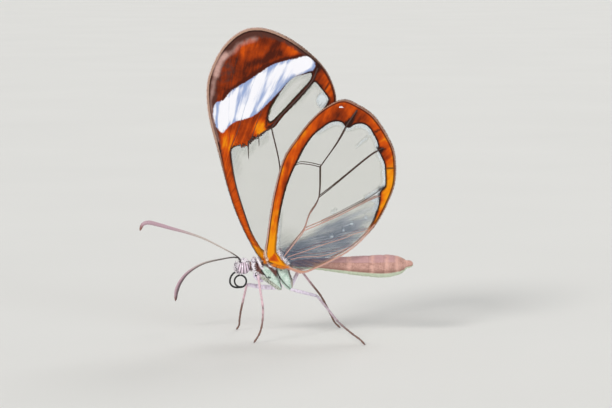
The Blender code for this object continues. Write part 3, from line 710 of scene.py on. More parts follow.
def wing_finish(name, clear_alpha, streaks):
    """Scales and clear panes in one material. A higher number of streaks makes them finer."""
    finish = Finish(name)
    edge, white = finish.field("edge"), finish.field("white")
    polar = {0: finish.field("fan") * streaks, 1: finish.field("reach") * 0.22}
    fan = finish.node("ShaderNodeCombineXYZ", {}, polar)
    flow = finish.noise(fan, 1.0, 3.0, 0.6)
    broad = finish.noise(fan, 0.5, 1.0, 0.5)
    blotch = finish.noise(finish.place(), 0.9, 3.0, 0.55)
    fine = finish.noise(finish.place(), 4.5, 2.0, 0.6)
    grain = finish.cells(finish.stretch(finish.place(), (9, 1, 7)), 1.0, "Distance")
    pane = finish.field("pane") + (fine - 0.5) * (finish.field("rough") * 1.5 + 0.12)
    blush = finish.field("blush")
    glow = finish.field("glow") + (flow - 0.5) * 1.1 + (blotch - 0.5) * 0.6
    scales = finish.mix(finish.slope(0.0, 0.45, glow), DEEP_RUST, RUST)
    scales = finish.mix(finish.slope(0.35, 0.8, glow), scales, ORANGE)
    scales = finish.mix(finish.slope(0.7, 1.15, glow), scales, AMBER)
    ragged = (flow - 0.5) * 0.5 + (fine - 0.5) * 0.6
    patchy = ragged + (finish.noise(finish.place(), 1.6, 2.0, 0.5) - 0.5) * 1.6
    scales = finish.mix(finish.slope(0.15, 0.95, finish.field("mauve") + patchy * 0.8), scales, MAUVE)
    worn_blush = blush + patchy * 0.55 * blush * (1 - finish.field("plain"))
    scales = finish.mix(finish.slope(0.15, 1.2, worn_blush) * 0.85, scales, BLUSH)
    rim_of_white = 1 - finish.slope(0.05, 0.65, white)
    icy = (1 - finish.field("pure")) * 0.3 + (flow - 0.5) * 1.8 + (broad - 0.5) * 3.2
    icy = icy + rim_of_white * (blotch - 0.1) * 1.3 - 0.03
    band = finish.mix(finish.slope(0.1, 0.8, icy) * 0.85, SNOW, ICE)
    scales = finish.mix(finish.slope(-0.06, 0.1, white + ragged * 0.5), scales, band)
    inner_line = finish.slope(-0.34, -0.07, pane) * (1 - finish.field("bare") * 0.9)
    inward = edge - finish.field("mauve") * (0.1 + fine * 0.12)
    outer_line = finish.slope(0.14, 0.2, inward) * (1 - finish.slope(0.28, 0.42, inward))
    outer_line = outer_line * (1 - finish.field("bare") * 0.8) * (1 - finish.slope(-0.05, 0.1, white))
    lines = inner_line.at_least(outer_line * 0.85).at_least(finish.field("dark"))
    scales = finish.mix(lines, scales, EDGE_BROWN)
    rim_colour = finish.mix(finish.field("tan"), EDGE_BROWN, TAN)
    scales = finish.mix(1 - finish.slope(0.13, 0.19, inward), scales, rim_colour)
    clear = finish.slope(-0.02, 0.05, pane) * (1 - finish.field("dark"))
    # The haze is pale scales and, low on the hindwing, a painted blue-grey reflection with pale streaks in it
    haze_and_sheen = finish.field("haze_and_sheen") * finish.slope(0.2, 0.75, flow * 0.8 + fine * 0.2)
    veil = finish.mix(finish.slope(0.0, 0.3, haze_and_sheen), MEMBRANE, finish.mix(finish.field("painted_reflection"), HAZE, SLATE_REFLECTION))
    veil = finish.mix(finish.slope(0.62, 0.72, flow) * finish.field("painted_reflection"), veil, HAZE)
    finish.feed(Base_Color=finish.mix(clear, scales, veil))
    finish.feed(Alpha=(1 - clear).at_least(clear_alpha + haze_and_sheen * 0.75))
    finish.feed(Roughness=0.6 - clear * 0.4 + (grain - 0.5) * 0.12)
    finish.relief(grain * (1 - clear) + flow * 0.4, 0.03, 0.5)
    finish.feed(IOR=1.45, Specular_IOR_Level=0.14)
    return finish


forewing_finish = wing_finish("forewing_scales", 0.045, 30.0)
hindwing_finish = wing_finish("hindwing_scales", 0.045, 22.0)
print("Two wing finishes with", len(forewing_finish.tree.nodes), "nodes each")

# %% [markdown]
# Veins are hollow struts that stand proud of both faces of a wing. Near the root of the hindwing they carry
# pinkish scales, further out they are bare and dark brown, and in the white band they are chalky. So their
# finish mixes these colours by numbers that change along each vein. The fringe gets its finish here too.

# %% The finish of the veins
VEIN_BROWN = colour(58, 28, 18)
VEIN_PINK = colour(206, 158, 146)

vein_finish = Finish("vein_cuticle")
worn = vein_finish.noise(vein_finish.place(), 5.0, 3.0)
vein_share = vein_finish.slope(0.2, 0.8, vein_finish.field("pink") + (worn - 0.5) * 0.5)
vein_colour = vein_finish.mix(vein_share, VEIN_BROWN, VEIN_PINK)
vein_colour = vein_finish.mix(vein_finish.field("chalk") * 0.85, vein_colour, colour(196, 208, 228))
vein_finish.feed(Base_Color=vein_colour, Roughness=0.38 + worn * 0.25)
vein_finish.relief(worn, 0.02, 0.5)

fringe_finish = Finish("fringe_scales")
fringe_tone = fringe_finish.field("tone")
fringe_colour = fringe_finish.mix(fringe_finish.slope(0.1, 0.6, fringe_tone), colour(76, 48, 40), TAN)
pale_share = fringe_finish.field("pale") * (0.45 + fringe_tone * 0.55)
fringe_colour = fringe_finish.mix(pale_share, fringe_colour, colour(236, 204, 194))
fringe_finish.feed(Base_Color=fringe_colour, Roughness=0.5 + fringe_tone * 0.2)
print("Vein and fringe finishes are ready")

# %% [markdown]
# Veins, feelers, legs and the tongue all have a round or slightly flat section that changes on the way. A
# bevelled curve could make them, but their finishes also read numbers that change from ring to ring, such as
# where a joint lies. So a tube is built ring by ring, and Gather joins many parts into one mesh.


# %% Tubes
def ring_faces(count, sides):
    """Four-sided faces between rings of points."""
    steps = [(side, (side + 1) % sides) for side in range(sides)]
    rows = [(row * sides, (row + 1) * sides) for row in range(count - 1)]
    return [[a + side, a + after, b + after, b + side] for a, b in rows for side, after in steps]


def tube(path, half_widths, half_depths, across_axis, sides):
    """Rings round a path, closed at both ends. The depth is measured along across_axis."""
    count = len(path)
    along = unit(np.gradient(path, axis=0))
    depth = unit(np.asarray(across_axis, float) - (along @ np.asarray(across_axis, float))[:, None] * along)
    width = np.cross(along, depth)
    angles = np.linspace(0, math.tau, sides, endpoint=False)
    rings = (
        path[:, None]
        + (np.broadcast_to(half_widths, count)[:, None] * np.cos(angles))[:, :, None] * width[:, None]
        + (np.broadcast_to(half_depths, count)[:, None] * np.sin(angles))[:, :, None] * depth[:, None]
    )
    points = np.vstack((rings.reshape(-1, 3), path[:1], path[-1:]))
    faces = ring_faces(count, sides)
    first, last = count * sides, count * sides + 1
    for side in range(sides):
        after = (side + 1) % sides
        faces.append([first, after, side])
        faces.append([last, first - sides + side, first - sides + after])
    return points, faces


def tube_unwrap(faces, count, sides, row, rows):
    """Corners of a tube's unwrap: a strip of its own, a row among rows."""
    corners = []
    first = count * sides
    for face in faces:
        columns = [index % sides for index in face if index < first]
        wraps = max(columns) - min(columns) > sides / 2
        for index in face:
            ring = min(index // sides, count - 1) if index != first else 0
            side = index % sides if index < first else sum(columns) / len(columns)
            side += sides if wraps and side < sides / 2 else 0
            height = (row + 0.08 + 0.84 * side / (sides + 1)) / rows
            corners.append((0.01 + 0.98 * ring / (count - 1), height))
    return corners


def on_rings(values, sides, ends=(0, 0)):
    """A number for each ring of a tube, given to all its points and to the two that close its ends."""
    return np.append(np.repeat(values, sides), ends)


def places_on(path, at):
    """Points at shares of a path, and the way that it runs there."""
    t = np.linspace(0, 1, len(path))
    return read_along(at, t, path), unit(read_along(at, t, np.gradient(path, axis=0)))


class Gather:
    """Collects closed parts that will make one mesh."""

    def __init__(self):
        self.points, self.faces, self.corners, self.fields, self.count = [], [], [], {}, 0

    def add(self, points, faces, corners=(), **fields):
        self.points.append(points)
        self.faces += [[index + self.count for index in face] for face in faces]
        self.corners += list(corners)
        self.count += len(points)
        for name, values in fields.items():
            self.fields.setdefault(name, []).append(np.broadcast_to(values, len(points)))

    def add_tube(self, path, half_widths, half_depths, across_axis, sides, row=0, rows=1, **fields):
        """A tube, no lower than the floor, with its unwrap."""
        points, faces = tube(path, half_widths, half_depths, across_axis, sides)
        points[:, 2] = np.maximum(points[:, 2], 0.0)
        self.add(points, faces, tube_unwrap(faces, len(path), sides, row, rows), **fields)

    def made(self, name, finish, sharp=None):
        fields = {field: np.concatenate(parts) for field, parts in self.fields.items()}
        return piece(name, np.vstack(self.points), self.faces, finish, fields, self.corners or None, sharp)


print("A ring of 8 points gives", len(ring_faces(2, 8)), "faces to the next one")

# %% [markdown]
# Scales that stand free are made as blades: slim leaf shapes with a ridge on the back and a point at the end.
# The same helper makes the fringe of the wings and, later, the scaly coat of the body. Each blade also gets
# its own small patch on the unwrap, at the place where it is rooted.


# %% Blades
BLADE_PATCH = 0.003
BLADE_POINTS = 7
BLADE_FACES = ((0, 2, 1), (0, 1, 4, 3), (1, 2, 5, 4), (2, 0, 3, 5), (3, 4, 6), (4, 5, 6), (5, 3, 6))


def blades(roots, along, up, length, width, lift, root_unwrap):
    """Leaf-shaped scales. Each starts a little below its root, bends up by lift and ends in a point."""
    count = len(roots)
    along = unit(along)
    up = unit(up - (up * along).sum(1)[:, None] * along)
    side = np.cross(along, up)
    length, width, lift = (np.broadcast_to(value, count)[:, None] for value in (length, width, lift))
    base = roots - up * width * 0.35
    waist = roots + along * length * 0.5 + up * lift * length * 0.35
    tip = roots + along * length + up * lift * length * 0.85
    points = np.stack((
        base - side * width * 0.3, base + side * width * 0.3, base + up * width * 0.3,
        waist - side * width * 0.5, waist + side * width * 0.5, waist + up * width * 0.22,
        tip,
    ), 1).reshape(-1, 3)
    starts = range(0, count * BLADE_POINTS, BLADE_POINTS)
    faces = [[start + index for index in face] for start in starts for face in BLADE_FACES]
    shape = np.array([(0, 0.2), (0, 0.8), (0, 0.5), (0.5, 0), (0.5, 1), (0.5, 0.5), (1, 0.5)])
    local = np.array([shape[index] for face in BLADE_FACES for index in face]) * BLADE_PATCH
    corners = (root_unwrap[:, None] + local[None]).reshape(-1, 2)
    return points, faces, corners


def on_blades(values):
    """A number for each blade, given to all its points."""
    return np.repeat(values, BLADE_POINTS)


print("A blade has", len(BLADE_FACES), "faces")

# %% [markdown]
# A wing is put together from its sheet and its veins. The sheet stores its distances and fields at its points
# and is a hair thicker under scales. The veins are slightly flat tubes that follow the lean and the ripple of
# the sheet, and where they cross the white band they turn chalky. All veins of a wing make one piece.

# %% Sheets and veins of the wings
VEIN_SIDES = 8


def make_sheet(kind, side, edge, panes, draw_fields, finish):
    """The membrane of a wing. Gives back its outline and the way out from each point of it."""
    flat, faces, outline, outward = net(edge)
    to_edge, _ = distance_to(flat, np.vstack((outline, outline[:1])))
    pane = panes_at(flat, panes)
    fields = dict(edge=to_edge, pane=pane, **draw_fields(flat, to_edge, pane))
    pale_strip = smooth(0.5, 0.25, pane) * smooth(1.9, 1.2, flat[:, 0])
    # Painted reflection: low on the hindwing the haze is tinted blue-grey, but not on the pale strip or the
    # specks.
    painted_reflection = smooth(19.0, 13.0, flat[:, 1]) * (kind == "hindwing")
    fields["painted_reflection"] = painted_reflection * (1 - pale_strip) * (1 - specks_at(flat))
    scaled = smooth(0.05, -0.1, pane) * smooth(FRINGE, 0.3, to_edge)
    half = CLEAR_HALF + (SCALED_HALF - CLEAR_HALF) * scaled
    points, polygons, corners = shell(turned(flat, kind, side), faces, middle_of(flat, kind), half, side)
    doubled = {field: np.concatenate((values, values)) for field, values in fields.items()}
    name = f"{kind}_{SIDE_NAMES[side]}"
    settle(piece(name + "_sheet", points, polygons, finish, doubled, corners), "wing_membrane", name)
    return outline, outward


def make_veins(kind, side, veins):
    group = Gather()
    band = smooth_line(WHITE_BAND, 0.3, closed=True)
    for row, (start, end, pink_start, pink_end, route) in enumerate(veins):
        path = smooth_line(route, 0.3)
        t = np.linspace(0, 1, len(path))
        widths = (start + (end - start) * t) * (1 + 0.06 * np.sin(t * 90 + row))
        pink = on_rings(pink_start + (pink_end - pink_start) * t, VEIN_SIDES, (pink_start, pink_end))
        chalk = on_rings(smooth(-0.1, 0.2, signed(path, band)) * (kind == "forewing"), VEIN_SIDES)
        line = in_space(path, kind, side)
        group.add_tube(
            line, widths, widths * 0.75 + 0.02, (0, 1, 0), VEIN_SIDES, row, len(veins),
            pink=pink, chalk=chalk,
        )
    settle(group.made(f"{kind}_{SIDE_NAMES[side]}_veins", vein_finish), "wing_membrane")


print("A vein has", VEIN_SIDES, "sides")

# %% [markdown]
# The rim of a wing carries a fringe of free scales, a row on each face. They point outward, each a little
# askew, and they are pale at the tip of the forewing and low on the hindwing.


# %% The fringe, and all four wings
FRINGE_SPACING = 0.075


def make_fringe(kind, side, outline, outward):
    rim = np.vstack((outline, outline[:1]))
    normals = np.vstack((outward, outward[:1]))
    travelled = travelled_along(rim)
    count = int(travelled[-1] / FRINGE_SPACING)
    group = Gather()
    for layer in (-1, 1):
        at = (np.arange(count) + chance.random(count) * 0.7) * FRINGE_SPACING
        out = unit(read_along(at, travelled, normals))
        root = read_along(at, travelled, rim) - out * (FRINGE + 0.05)
        slant = chance.normal(0, 0.18, count)[:, None]
        lean = out + slant * np.stack((-out[:, 1], out[:, 0]), 1)
        roots = in_space(root, kind, side, layer * 0.018)
        along = np.stack((lean[:, 0], chance.normal(0, 0.08, count), lean[:, 1]), 1)
        up = np.tile((0.0, float(layer), 0.0), (count, 1))
        length = FRINGE + 0.05 + chance.uniform(-0.05, 0.06, count)
        unwrap = np.stack((at / travelled[-1] * 0.98, np.full(count, 0.3 + 0.2 * layer)), 1)
        shape = blades(roots, along, up, length, 0.055, 0.0, unwrap)
        x, z = root.T
        dusk = smooth(23, 17, z) * (kind == "forewing")
        tone = chance.random(count) * (1 - 0.9 * dusk)
        low_rim = (kind == "hindwing") * smooth(13.8, 13.0, z) * smooth(1.0, 1.8, x)
        pale = np.maximum(smooth(20, 30, z) * smooth(3, -4, x), low_rim)
        group.add(*shape, tone=on_blades(tone), pale=on_blades(pale))
    settle(group.made(f"{kind}_{SIDE_NAMES[side]}_fringe", fringe_finish, 35), "wing_membrane")


WINGS = (
    ("forewing", FOREWING_EDGE, FOREWING_PANES, forewing_fields, forewing_finish, FOREWING_VEINS),
    ("hindwing", HINDWING_EDGE, HINDWING_PANES, hindwing_fields, hindwing_finish, HINDWING_VEINS),
)
for side in (LEFT, RIGHT):
    for kind, *pattern, veins in WINGS:
        outline, outward = make_sheet(kind, side, *pattern)
        make_veins(kind, side, veins)
        make_fringe(kind, side, outline, outward)

# %% [markdown]
# Head, collar, chest and abdomen have no seams between them on the living insect, so they become one skin.
# They could be sculpted, but simple lofts and balls that are pushed into one another can be given by a few
# sizes, and a later step melts them together.

# %% Lofts and balls
COXAE = (
    # root, tip, widest half width, half width at the tip, along the flank of one side
    ((-1.35, 0.72, 8.75), (0.42, 0.72, 6.14), 0.63, 0.25),
    ((0.64, 0.72, 8.6), (1.78, 0.72, 6.12), 0.72, 0.24),
)
ABDOMEN = (
    # x, middle height, half height, half width
    (1.2, 9.0, 0.5, 0.6), (2.02, 9.12, 0.38, 0.4), (2.6, 9.17, 0.48, 0.5), (3.3, 9.2, 0.57, 0.58),
    (5.5, 9.18, 0.73, 0.7), (8.6, 9.04, 1.05, 0.85), (10.8, 8.95, 1.25, 0.97), (13.0, 8.92, 1.42, 1.05),
    (14.5, 8.97, 1.36, 1.01), (15.6, 9.01, 1.05, 0.84), (16.0, 9.03, 0.83, 0.69), (16.2, 9.1, 0.63, 0.54),
    (16.4, 9.15, 0.51, 0.43), (16.8, 9.18, 0.45, 0.38), (17.05, 9.2, 0.32, 0.28), (17.17, 9.2, 0.15, 0.15),
)
SEGMENT_ENDS = (4.4, 6.6, 8.7, 11.6, 13.45, 14.75, 15.9)


def on_side(points, side):
    """Points that are written for the right side, put on the given one."""
    return np.asarray(points, float) * (1, side, 1)


def barrel_faces(count, sides):
    """Faces between rings, and one across each end."""
    last = (count - 1) * sides
    return ring_faces(count, sides) + [list(range(sides))[::-1], list(range(last, last + sides))]


def loft(stations, sides=24):
    """A closed body through ellipses: centre, half size along a direction, half size along Y, direction."""
    angles = np.linspace(0, math.tau, sides, endpoint=False)
    rings = [
        np.asarray(centre) + np.sin(angles)[:, None] * half_up * np.asarray(up)
        + np.cos(angles)[:, None] * (0, half_side, 0)
        for centre, half_up, half_side, up in stations
    ]
    return np.vstack(rings), barrel_faces(len(rings), sides)


def ball(centre, half_sizes, lean=0.0):
    """A round body, leaning back by an angle in side view."""
    heights = np.cos(np.linspace(0.12, math.pi - 0.12, 13))
    c, s = math.cos(lean), math.sin(lean)
    up = np.array((s, 0, c))
    level = np.array((c, 0, -s))
    stations = [
        (np.asarray(centre) + up * half_sizes[2] * h, math.sqrt(1 - h * h) * half_sizes[0],
         math.sqrt(1 - h * h) * half_sizes[1], level) for h in heights
    ]
    return loft(stations, 20)


def coxa(side, root, tip, root_half, tip_half):
    """A hip: a long flat lobe on the flank, which narrows to the joint of the leg."""
    root, tip = on_side(root, side), on_side(tip, side)
    along = (tip - root) / np.linalg.norm(tip - root)
    across = (along[2], 0, -along[0])
    stations = []
    for t in np.linspace(0.0, 1.0, 10):
        belly = math.sin(math.pi * min(1.0, 0.25 + 0.75 * t)) ** 0.7 if t < 0.999 else 0.0
        half = tip_half + (root_half - tip_half) * belly
        stations.append((root + (tip - root) * t, half, 0.27 + 0.16 * belly, across))
    return loft(stations)


print("The abdomen has", len(SEGMENT_ENDS) + 1, "segments")

# %% [markdown]
# Balls make the head, neck and collar, and a loft makes the chest. On each side come the hips, then balls
# that swell the skin at the collar, the front leg, the shoulder and the hinges of the wings. The abdomen is a
# loft whose rings draw in a little where its segments meet.

# %% Put the forms together
up = (0, 0, 1)
forms = [
    ball((-4.12, 0, 8.98), (0.8, 0.5, 0.92)), ball((-4.72, 0, 8.75), (0.28, 0.36, 0.55)),
    ball((-3.2, 0, 8.9), (0.55, 0.45, 0.55)), ball((-2.75, 0, 8.95), (0.5, 0.86, 0.82)),
    loft([
        ((-2.3, 0, 8.75), 0.6, 0.7, up), ((-1.7, 0, 8.68), 0.86, 1.08, up), ((-1.0, 0, 8.64), 0.93, 1.28, up),
        ((0.0, 0, 8.62), 0.93, 1.28, up), ((0.9, 0, 8.66), 0.86, 1.16, up), ((1.5, 0, 8.85), 0.6, 0.8, up),
        ((1.9, 0, 9.0), 0.35, 0.4, up),
    ]),
    ball((-0.7, 0, 9.3), (0.95, 0.62, 0.5)), ball((0.7, 0, 9.2), (0.6, 0.45, 0.35)),
]
for side in (LEFT, RIGHT):
    forms += [coxa(side, *shape) for shape in COXAE]
    forms += [
        ball((-2.88, side * 0.4, 9.68), (0.3, 0.33, 0.34)),
        ball((-2.45, side * 0.55, 8.1), (0.32, 0.3, 0.5), 0.4),
        ball((-2.1, side * 0.98, 9.45), (0.2, 0.24, 0.72), -0.42),
        ball((-1.2, side * 0.9, 9.5), (0.42, 0.3, 0.5), -0.2),
        ball((-0.25, side * 1.55, 9.3), (0.72, 0.4, 0.36)),
        ball((0.7, side * 1.6, 9.12), (0.75, 0.36, 0.26), 0.15),
    ]
ABDOMEN_RINGS = smooth_line(ABDOMEN, 0.16)
waists = 1 - 0.05 * np.exp(-((ABDOMEN_RINGS[:, :1] - SEGMENT_ENDS) / 0.09) ** 2).max(1)
forms.append(loft([((x, 0, m), h * c, w * c, up) for (x, m, h, w), c in zip(ABDOMEN_RINGS, waists)], 40))
print(len(forms), "forms make the body")

# %% [markdown]
# A voxel remesh turns the pile of forms into one closed surface, and a little smoothing rounds the folds
# between them. Joining them with booleans would keep every crease sharp. The work is done with a millimetre
# as the unit, because a remesh can't use voxels as small as these in metres.

# %% Melt them into one skin
SKIN_VOXEL = 0.075


def melted(forms, voxel, rounds):
    """Closed forms, in millimetres, remeshed into one smooth surface."""
    group = Gather()
    for points, faces in forms:
        group.add(points, faces)
    mesh = bpy.data.meshes.new("melting")
    mesh.from_pydata(np.vstack(group.points).tolist(), [], group.faces)
    made = bpy.data.objects.new("melting", mesh)
    bpy.context.scene.collection.objects.link(made)
    remesh = made.modifiers.new("remesh", "REMESH")
    remesh.mode = "VOXEL"
    remesh.voxel_size = voxel
    smoother = made.modifiers.new("smooth", "SMOOTH")
    smoother.factor = 0.5
    smoother.iterations = rounds
    result = made.evaluated_get(bpy.context.evaluated_depsgraph_get()).to_mesh()
    points = np.empty(len(result.vertices) * 3)
    result.vertices.foreach_get("co", points)
    normals = np.empty(len(result.vertices) * 3)
    result.vertices.foreach_get("normal", normals)
    faces = [list(face.vertices) for face in result.polygons]
    bpy.data.objects.remove(made, do_unlink=True)
    return points.reshape(-1, 3), normals.reshape(-1, 3), faces


skin_points, skin_normals, skin_faces = melted(forms, SKIN_VOXEL, 3)
print("The skin has", len(skin_points), "points and starts at", skin_points.min(0).round(2))

# %% [markdown]
# The chest of this insect is a patchwork: pale mint plates edged with black, maroon skin between them, and
# amber scales where the wings are hinged. Each patch is drawn once, in side view, and both the skin and the
# scales that stand on it read the same patches, so that they always agree.

# %% Patches of the body
MINT_PLATES = (
    ((-1.92, 8.83), (-1.54, 9.02), (-0.98, 8.83), (-0.6, 8.32), (-0.16, 7.69), (0.28, 6.93), (0.66, 5.95),
     (0.36, 5.85), (-0.16, 6.55), (-0.79, 7.19), (-1.42, 7.94), (-1.85, 8.51)),
    ((0.03, 8.83), (0.47, 9.02), (0.97, 8.89), (1.41, 8.45), (1.59, 7.56), (1.8, 6.5), (1.92, 5.9),
     (1.6, 6.1), (1.09, 6.81), (0.59, 7.44), (0.15, 8.26)),
    ((-0.05, 8.1), (0.15, 7.5), (0.55, 6.75), (1.4, 5.95), (1.62, 6.1), (0.86, 6.85), (0.38, 7.55),
     (0.1, 8.15)),
)
MAROON_SKINS = (
    ((-1.16, 9.15), (-0.03, 9.08), (0.09, 8.45), (0.03, 7.82), (-0.47, 8.39), (-0.95, 8.89)),
    ((-2.6, 9.59), (-1.98, 9.59), (-1.79, 8.96), (-1.85, 8.07), (-2.29, 8.2), (-2.54, 8.83)),
)
BLACK_LINES = (
    (0.09, ((-1.92, 8.58), (-1.29, 7.69), (-0.66, 7.0), (0.09, 6.24))),
    (0.07, ((0.1, 8.3), (0.44, 7.64), (0.92, 6.98), (1.38, 6.52), (1.72, 6.2))),
    (0.1, ((-0.1, 9.08), (0.09, 8.45), (0.4, 7.44), (0.65, 6.43))),
    (0.13, ((-0.95, 7.66), (-0.81, 7.62))),
    (0.07, ((0.56, 8.58), (0.63, 8.57))),
    (0.05, ((1.62, 8.6), (1.8, 8.0), (1.9, 7.3))),
)
WHITE_LINES = (
    (0.12, ((-1.35, 9.59), (-0.79, 9.21), (-0.16, 8.77))),
    (0.2, ((-2.48, 10.16), (-2.23, 9.65), (-1.85, 8.83))),
    (0.13, ((-2.97, 9.4), (-2.87, 8.8), (-2.74, 8.3))),
    (0.16, ((0.34, 10.72), (0.59, 10.35), (0.97, 9.97), (1.35, 9.59))),
)


def lines_at(side, lines, core, reach):
    """1 on drawn lines, 0 away from them. They fade from core to reach, in half widths."""
    return np.max([smooth(reach, core, distance_to(side, line)[0] / half) for half, line in lines], axis=0)


def patches_at(points):
    """What each point of the body is covered with, and where shade is painted on it, as numbers from 0 to 1.
    """
    x, y, z = points.T
    side = points[:, (0, 2)]
    plates = np.max([signed(side, np.array(plate)) for plate in MINT_PLATES], axis=0)
    maroon = np.max([signed(side, np.array(skin)) for skin in MAROON_SKINS], axis=0)
    black = lines_at(side, BLACK_LINES, 0.7, 1.25)
    white = lines_at(side, WHITE_LINES, 0.6, 1.3)
    crown = np.linalg.norm(np.stack((x + 2.88, np.abs(y) - 0.42, z - 9.72), 1), axis=1)
    brow = np.linalg.norm(np.stack((x + 4.25, np.abs(y) - 0.3, z - 9.75), 1), axis=1)
    socket = np.abs(np.hypot(x + 4.12, z - 8.85) - 0.84)
    knob = np.maximum(smooth(0.42, 0.32, crown), smooth(0.36, 0.24, brow))
    knob = np.maximum(knob, smooth(0.14, 0.05, socket) * (x < -3.4) * smooth(9.4, 9.0, z))
    gap = smooth(0.18, 0.08, np.abs(x + 3.32 + 0.1 * (z - 9)))
    gap += lines_at(side, ((1.0, ((-2.62, 9.9), (-2.6, 9.1), (-2.5, 8.4))),), 0.07, 0.15)
    chest = smooth(-2.1, -1.9, x) * smooth(2.2, 1.9, x)
    flank = smooth(0.3, 0.5, np.abs(y))
    fore_hinge = smooth(0.9, 0.6, np.hypot((x + 1.45) / 0.5, (z - 9.95) / 0.75)) * flank
    hind_hinge = smooth(1.0, 0.72, np.hypot((x - 0.4) / 1.3, (z - 9.36) / 0.42)) * smooth(1.1, 1.3, np.abs(y))
    middle, half = (np.interp(x, ABDOMEN_RINGS[:, 0], ABDOMEN_RINGS[:, column]) for column in (1, 2))
    low = (middle - z) / half
    past_ends = x[:, None] - SEGMENT_ENDS
    ring_crease = np.exp(-(past_ends / 0.07) ** 2).max(1) * smooth(2.0, 3.0, x)
    low_crease = 0.9 * smooth(0.08, 0.03, np.abs(low - 0.45 - 0.02 * np.sin(x * 3))) * smooth(2.0, 4.0, x)
    high_crease = 0.8 * smooth(0.07, 0.02, np.abs(low + 0.4)) * smooth(2.5, 4.5, x) * smooth(13.5, 11.0, x)
    return dict(
        mint=np.clip(smooth(-0.12, 0.02, plates) * flank * chest + 0.35 * smooth(7.9, 7.3, z) * chest, 0, 1),
        maroon=np.clip(smooth(-0.15, 0.05, maroon) * flank + gap * (1 - knob), 0, 1),
        black=black * flank * smooth(-2.05, -1.9, x),
        white=np.maximum(white * flank * (z < 10.9), knob),
        amber=np.maximum(fore_hinge, hind_hinge),
        front=smooth(-2.0, -2.3, x),
        belly=smooth(0.52, 0.64, low) * smooth(1.8, 2.4, x),
        rear=smooth(1.7, 2.1, x),
        crease=np.max((ring_crease, low_crease, high_crease), axis=0),
        hoop=0.75 * np.exp(-((past_ends - 0.4) / 0.3) ** 2).max(1) * smooth(7.0, 9.0, x),
        upper=smooth(-0.36, -0.46, low) * smooth(2.5, 4.0, x) * smooth(15.6, 14.6, x),
        # Painted shade: the abdomen darkens low down above the belly and towards the front, where the wings
        # shade it.
        shade=np.maximum(smooth(0.05, 0.5, low), 0.7 * smooth(9.5, 3.5, x)) * smooth(2.0, 3.0, x),
    )


def around(points):
    """The skin's own unwrap: along the body, and round its axis."""
    angle = np.arctan2(points[:, 1], points[:, 2] - np.interp(points[:, 0], (-5, 2, 17), (8.9, 8.8, 9.1)))
    return np.stack(((points[:, 0] + 5.6) / 23.2, angle / math.tau + 0.5), 1)


skin_patches = patches_at(skin_points)
print("Patches:", ", ".join(skin_patches))

# %% [markdown]
# The skin and the scales that stand on it share one recipe, so that both follow the same patches.
# It begins with grey on the chest and brown on the abdomen and lays the patches over them one by one. Each
# scale has a tone of its own, and the skin takes fine noise in its stead.

# %% The finish of the skin and its scales
MINT = colour(234, 247, 240)
MINT_SHADE = colour(154, 188, 170)
MAROON = colour(84, 44, 38)
INK = colour(24, 18, 22)
LILAC = colour(255, 251, 255)
PLUM = colour(54, 32, 56)
ABDOMEN_BROWN = colour(218, 173, 161)
ABDOMEN_SHADE = colour(170, 125, 113)
BELLY_PALE = colour(214, 224, 200)


def body_finish(name, tufts):
    """The finish of the skin or, with tufts, of the scales on it."""
    plum_share = 0.36 if tufts else 0.5
    finish = Finish(name)
    spot = finish.place()
    mottle = finish.noise(spot, 2.2, 4.0, 0.6)
    fine = finish.noise(spot, 11.0, 2.0, 0.6)
    scale_rows = finish.cells(finish.stretch(spot, (7, 11, 11)), 1.0)
    tone = finish.field("tone") if tufts else fine
    clumps = finish.noise(spot, 2.6, 1.5, 0.5)
    grey = finish.mix(finish.slope(0.3, 0.7, mottle), colour(150, 150, 144), MAROON)
    brown = finish.mix(finish.slope(0.3, 0.7, mottle * 0.5 + tone * 0.3 + 0.12), ABDOMEN_SHADE, ABDOMEN_BROWN)
    brown = finish.mix(finish.field("upper") * 0.75, brown, colour(200, 158, 163))
    # Painted shade, where the shade field is high.
    brown = finish.mix(finish.field("shade") * 0.6, brown, colour(146, 104, 90))
    brown = finish.mix(finish.field("hoop") * finish.slope(0.25, 0.6, mottle), brown, colour(230, 184, 170))
    brown = finish.mix(finish.field("crease") * (0.05 + mottle * 0.45), brown, colour(138, 98, 90))
    coat = finish.mix(finish.field("rear"), grey, brown)
    coat = finish.mix(finish.field("belly"), coat, BELLY_PALE)
    lilac = finish.mix(finish.slope(plum_share, plum_share + 0.06, tone * 0.3 + clumps * 0.7), PLUM, LILAC)
    coat = finish.mix(finish.field("front"), coat, lilac)
    mint = finish.mix(finish.slope(0.25, 0.7, mottle * 0.5 + tone * 0.5), MINT_SHADE, MINT)
    coat = finish.mix(finish.field("mint"), coat, mint)
    maroon = finish.mix(finish.slope(0.4, 0.7, tone), MAROON, colour(140, 92, 84))
    coat = finish.mix(finish.field("maroon"), coat, maroon)
    snowy = finish.mix(finish.slope(0.14, 0.34, tone), colour(118, 94, 136), LILAC)
    coat = finish.mix(finish.field("white"), coat, snowy)
    coat = finish.mix(finish.field("amber"), coat, finish.mix(tone * 0.6 + 0.4, ORANGE, AMBER))
    if tufts:
        coat = finish.mix(finish.field("cream"), coat, colour(252, 228, 206))
    coat = finish.mix(finish.field("black") * 0.95, coat, INK)
    finish.feed(Base_Color=coat, Roughness=0.5 + fine * 0.25)
    finish.relief(scale_rows + fine * 0.5, 0.035, 0.2 if tufts else 0.5)
    return finish


skin_finish = body_finish("skin_scales", False)
tuft_finish = body_finish("tuft_scales", True)
corners = around(skin_points)
unwrap = []
for face in skin_faces:
    places = corners[face]
    wraps = places[:, 1].max() - places[:, 1].min() > 0.5
    places = places + np.stack((np.zeros(len(face)), wraps * (places[:, 1] < 0.5)), 1)
    unwrap.append(places * (1, 0.97))
skin = piece("body_skin", skin_points, skin_faces, skin_finish, skin_patches, np.vstack(unwrap))
settle(skin, "body_scales", "head", "collar", "thorax", "abdomen")

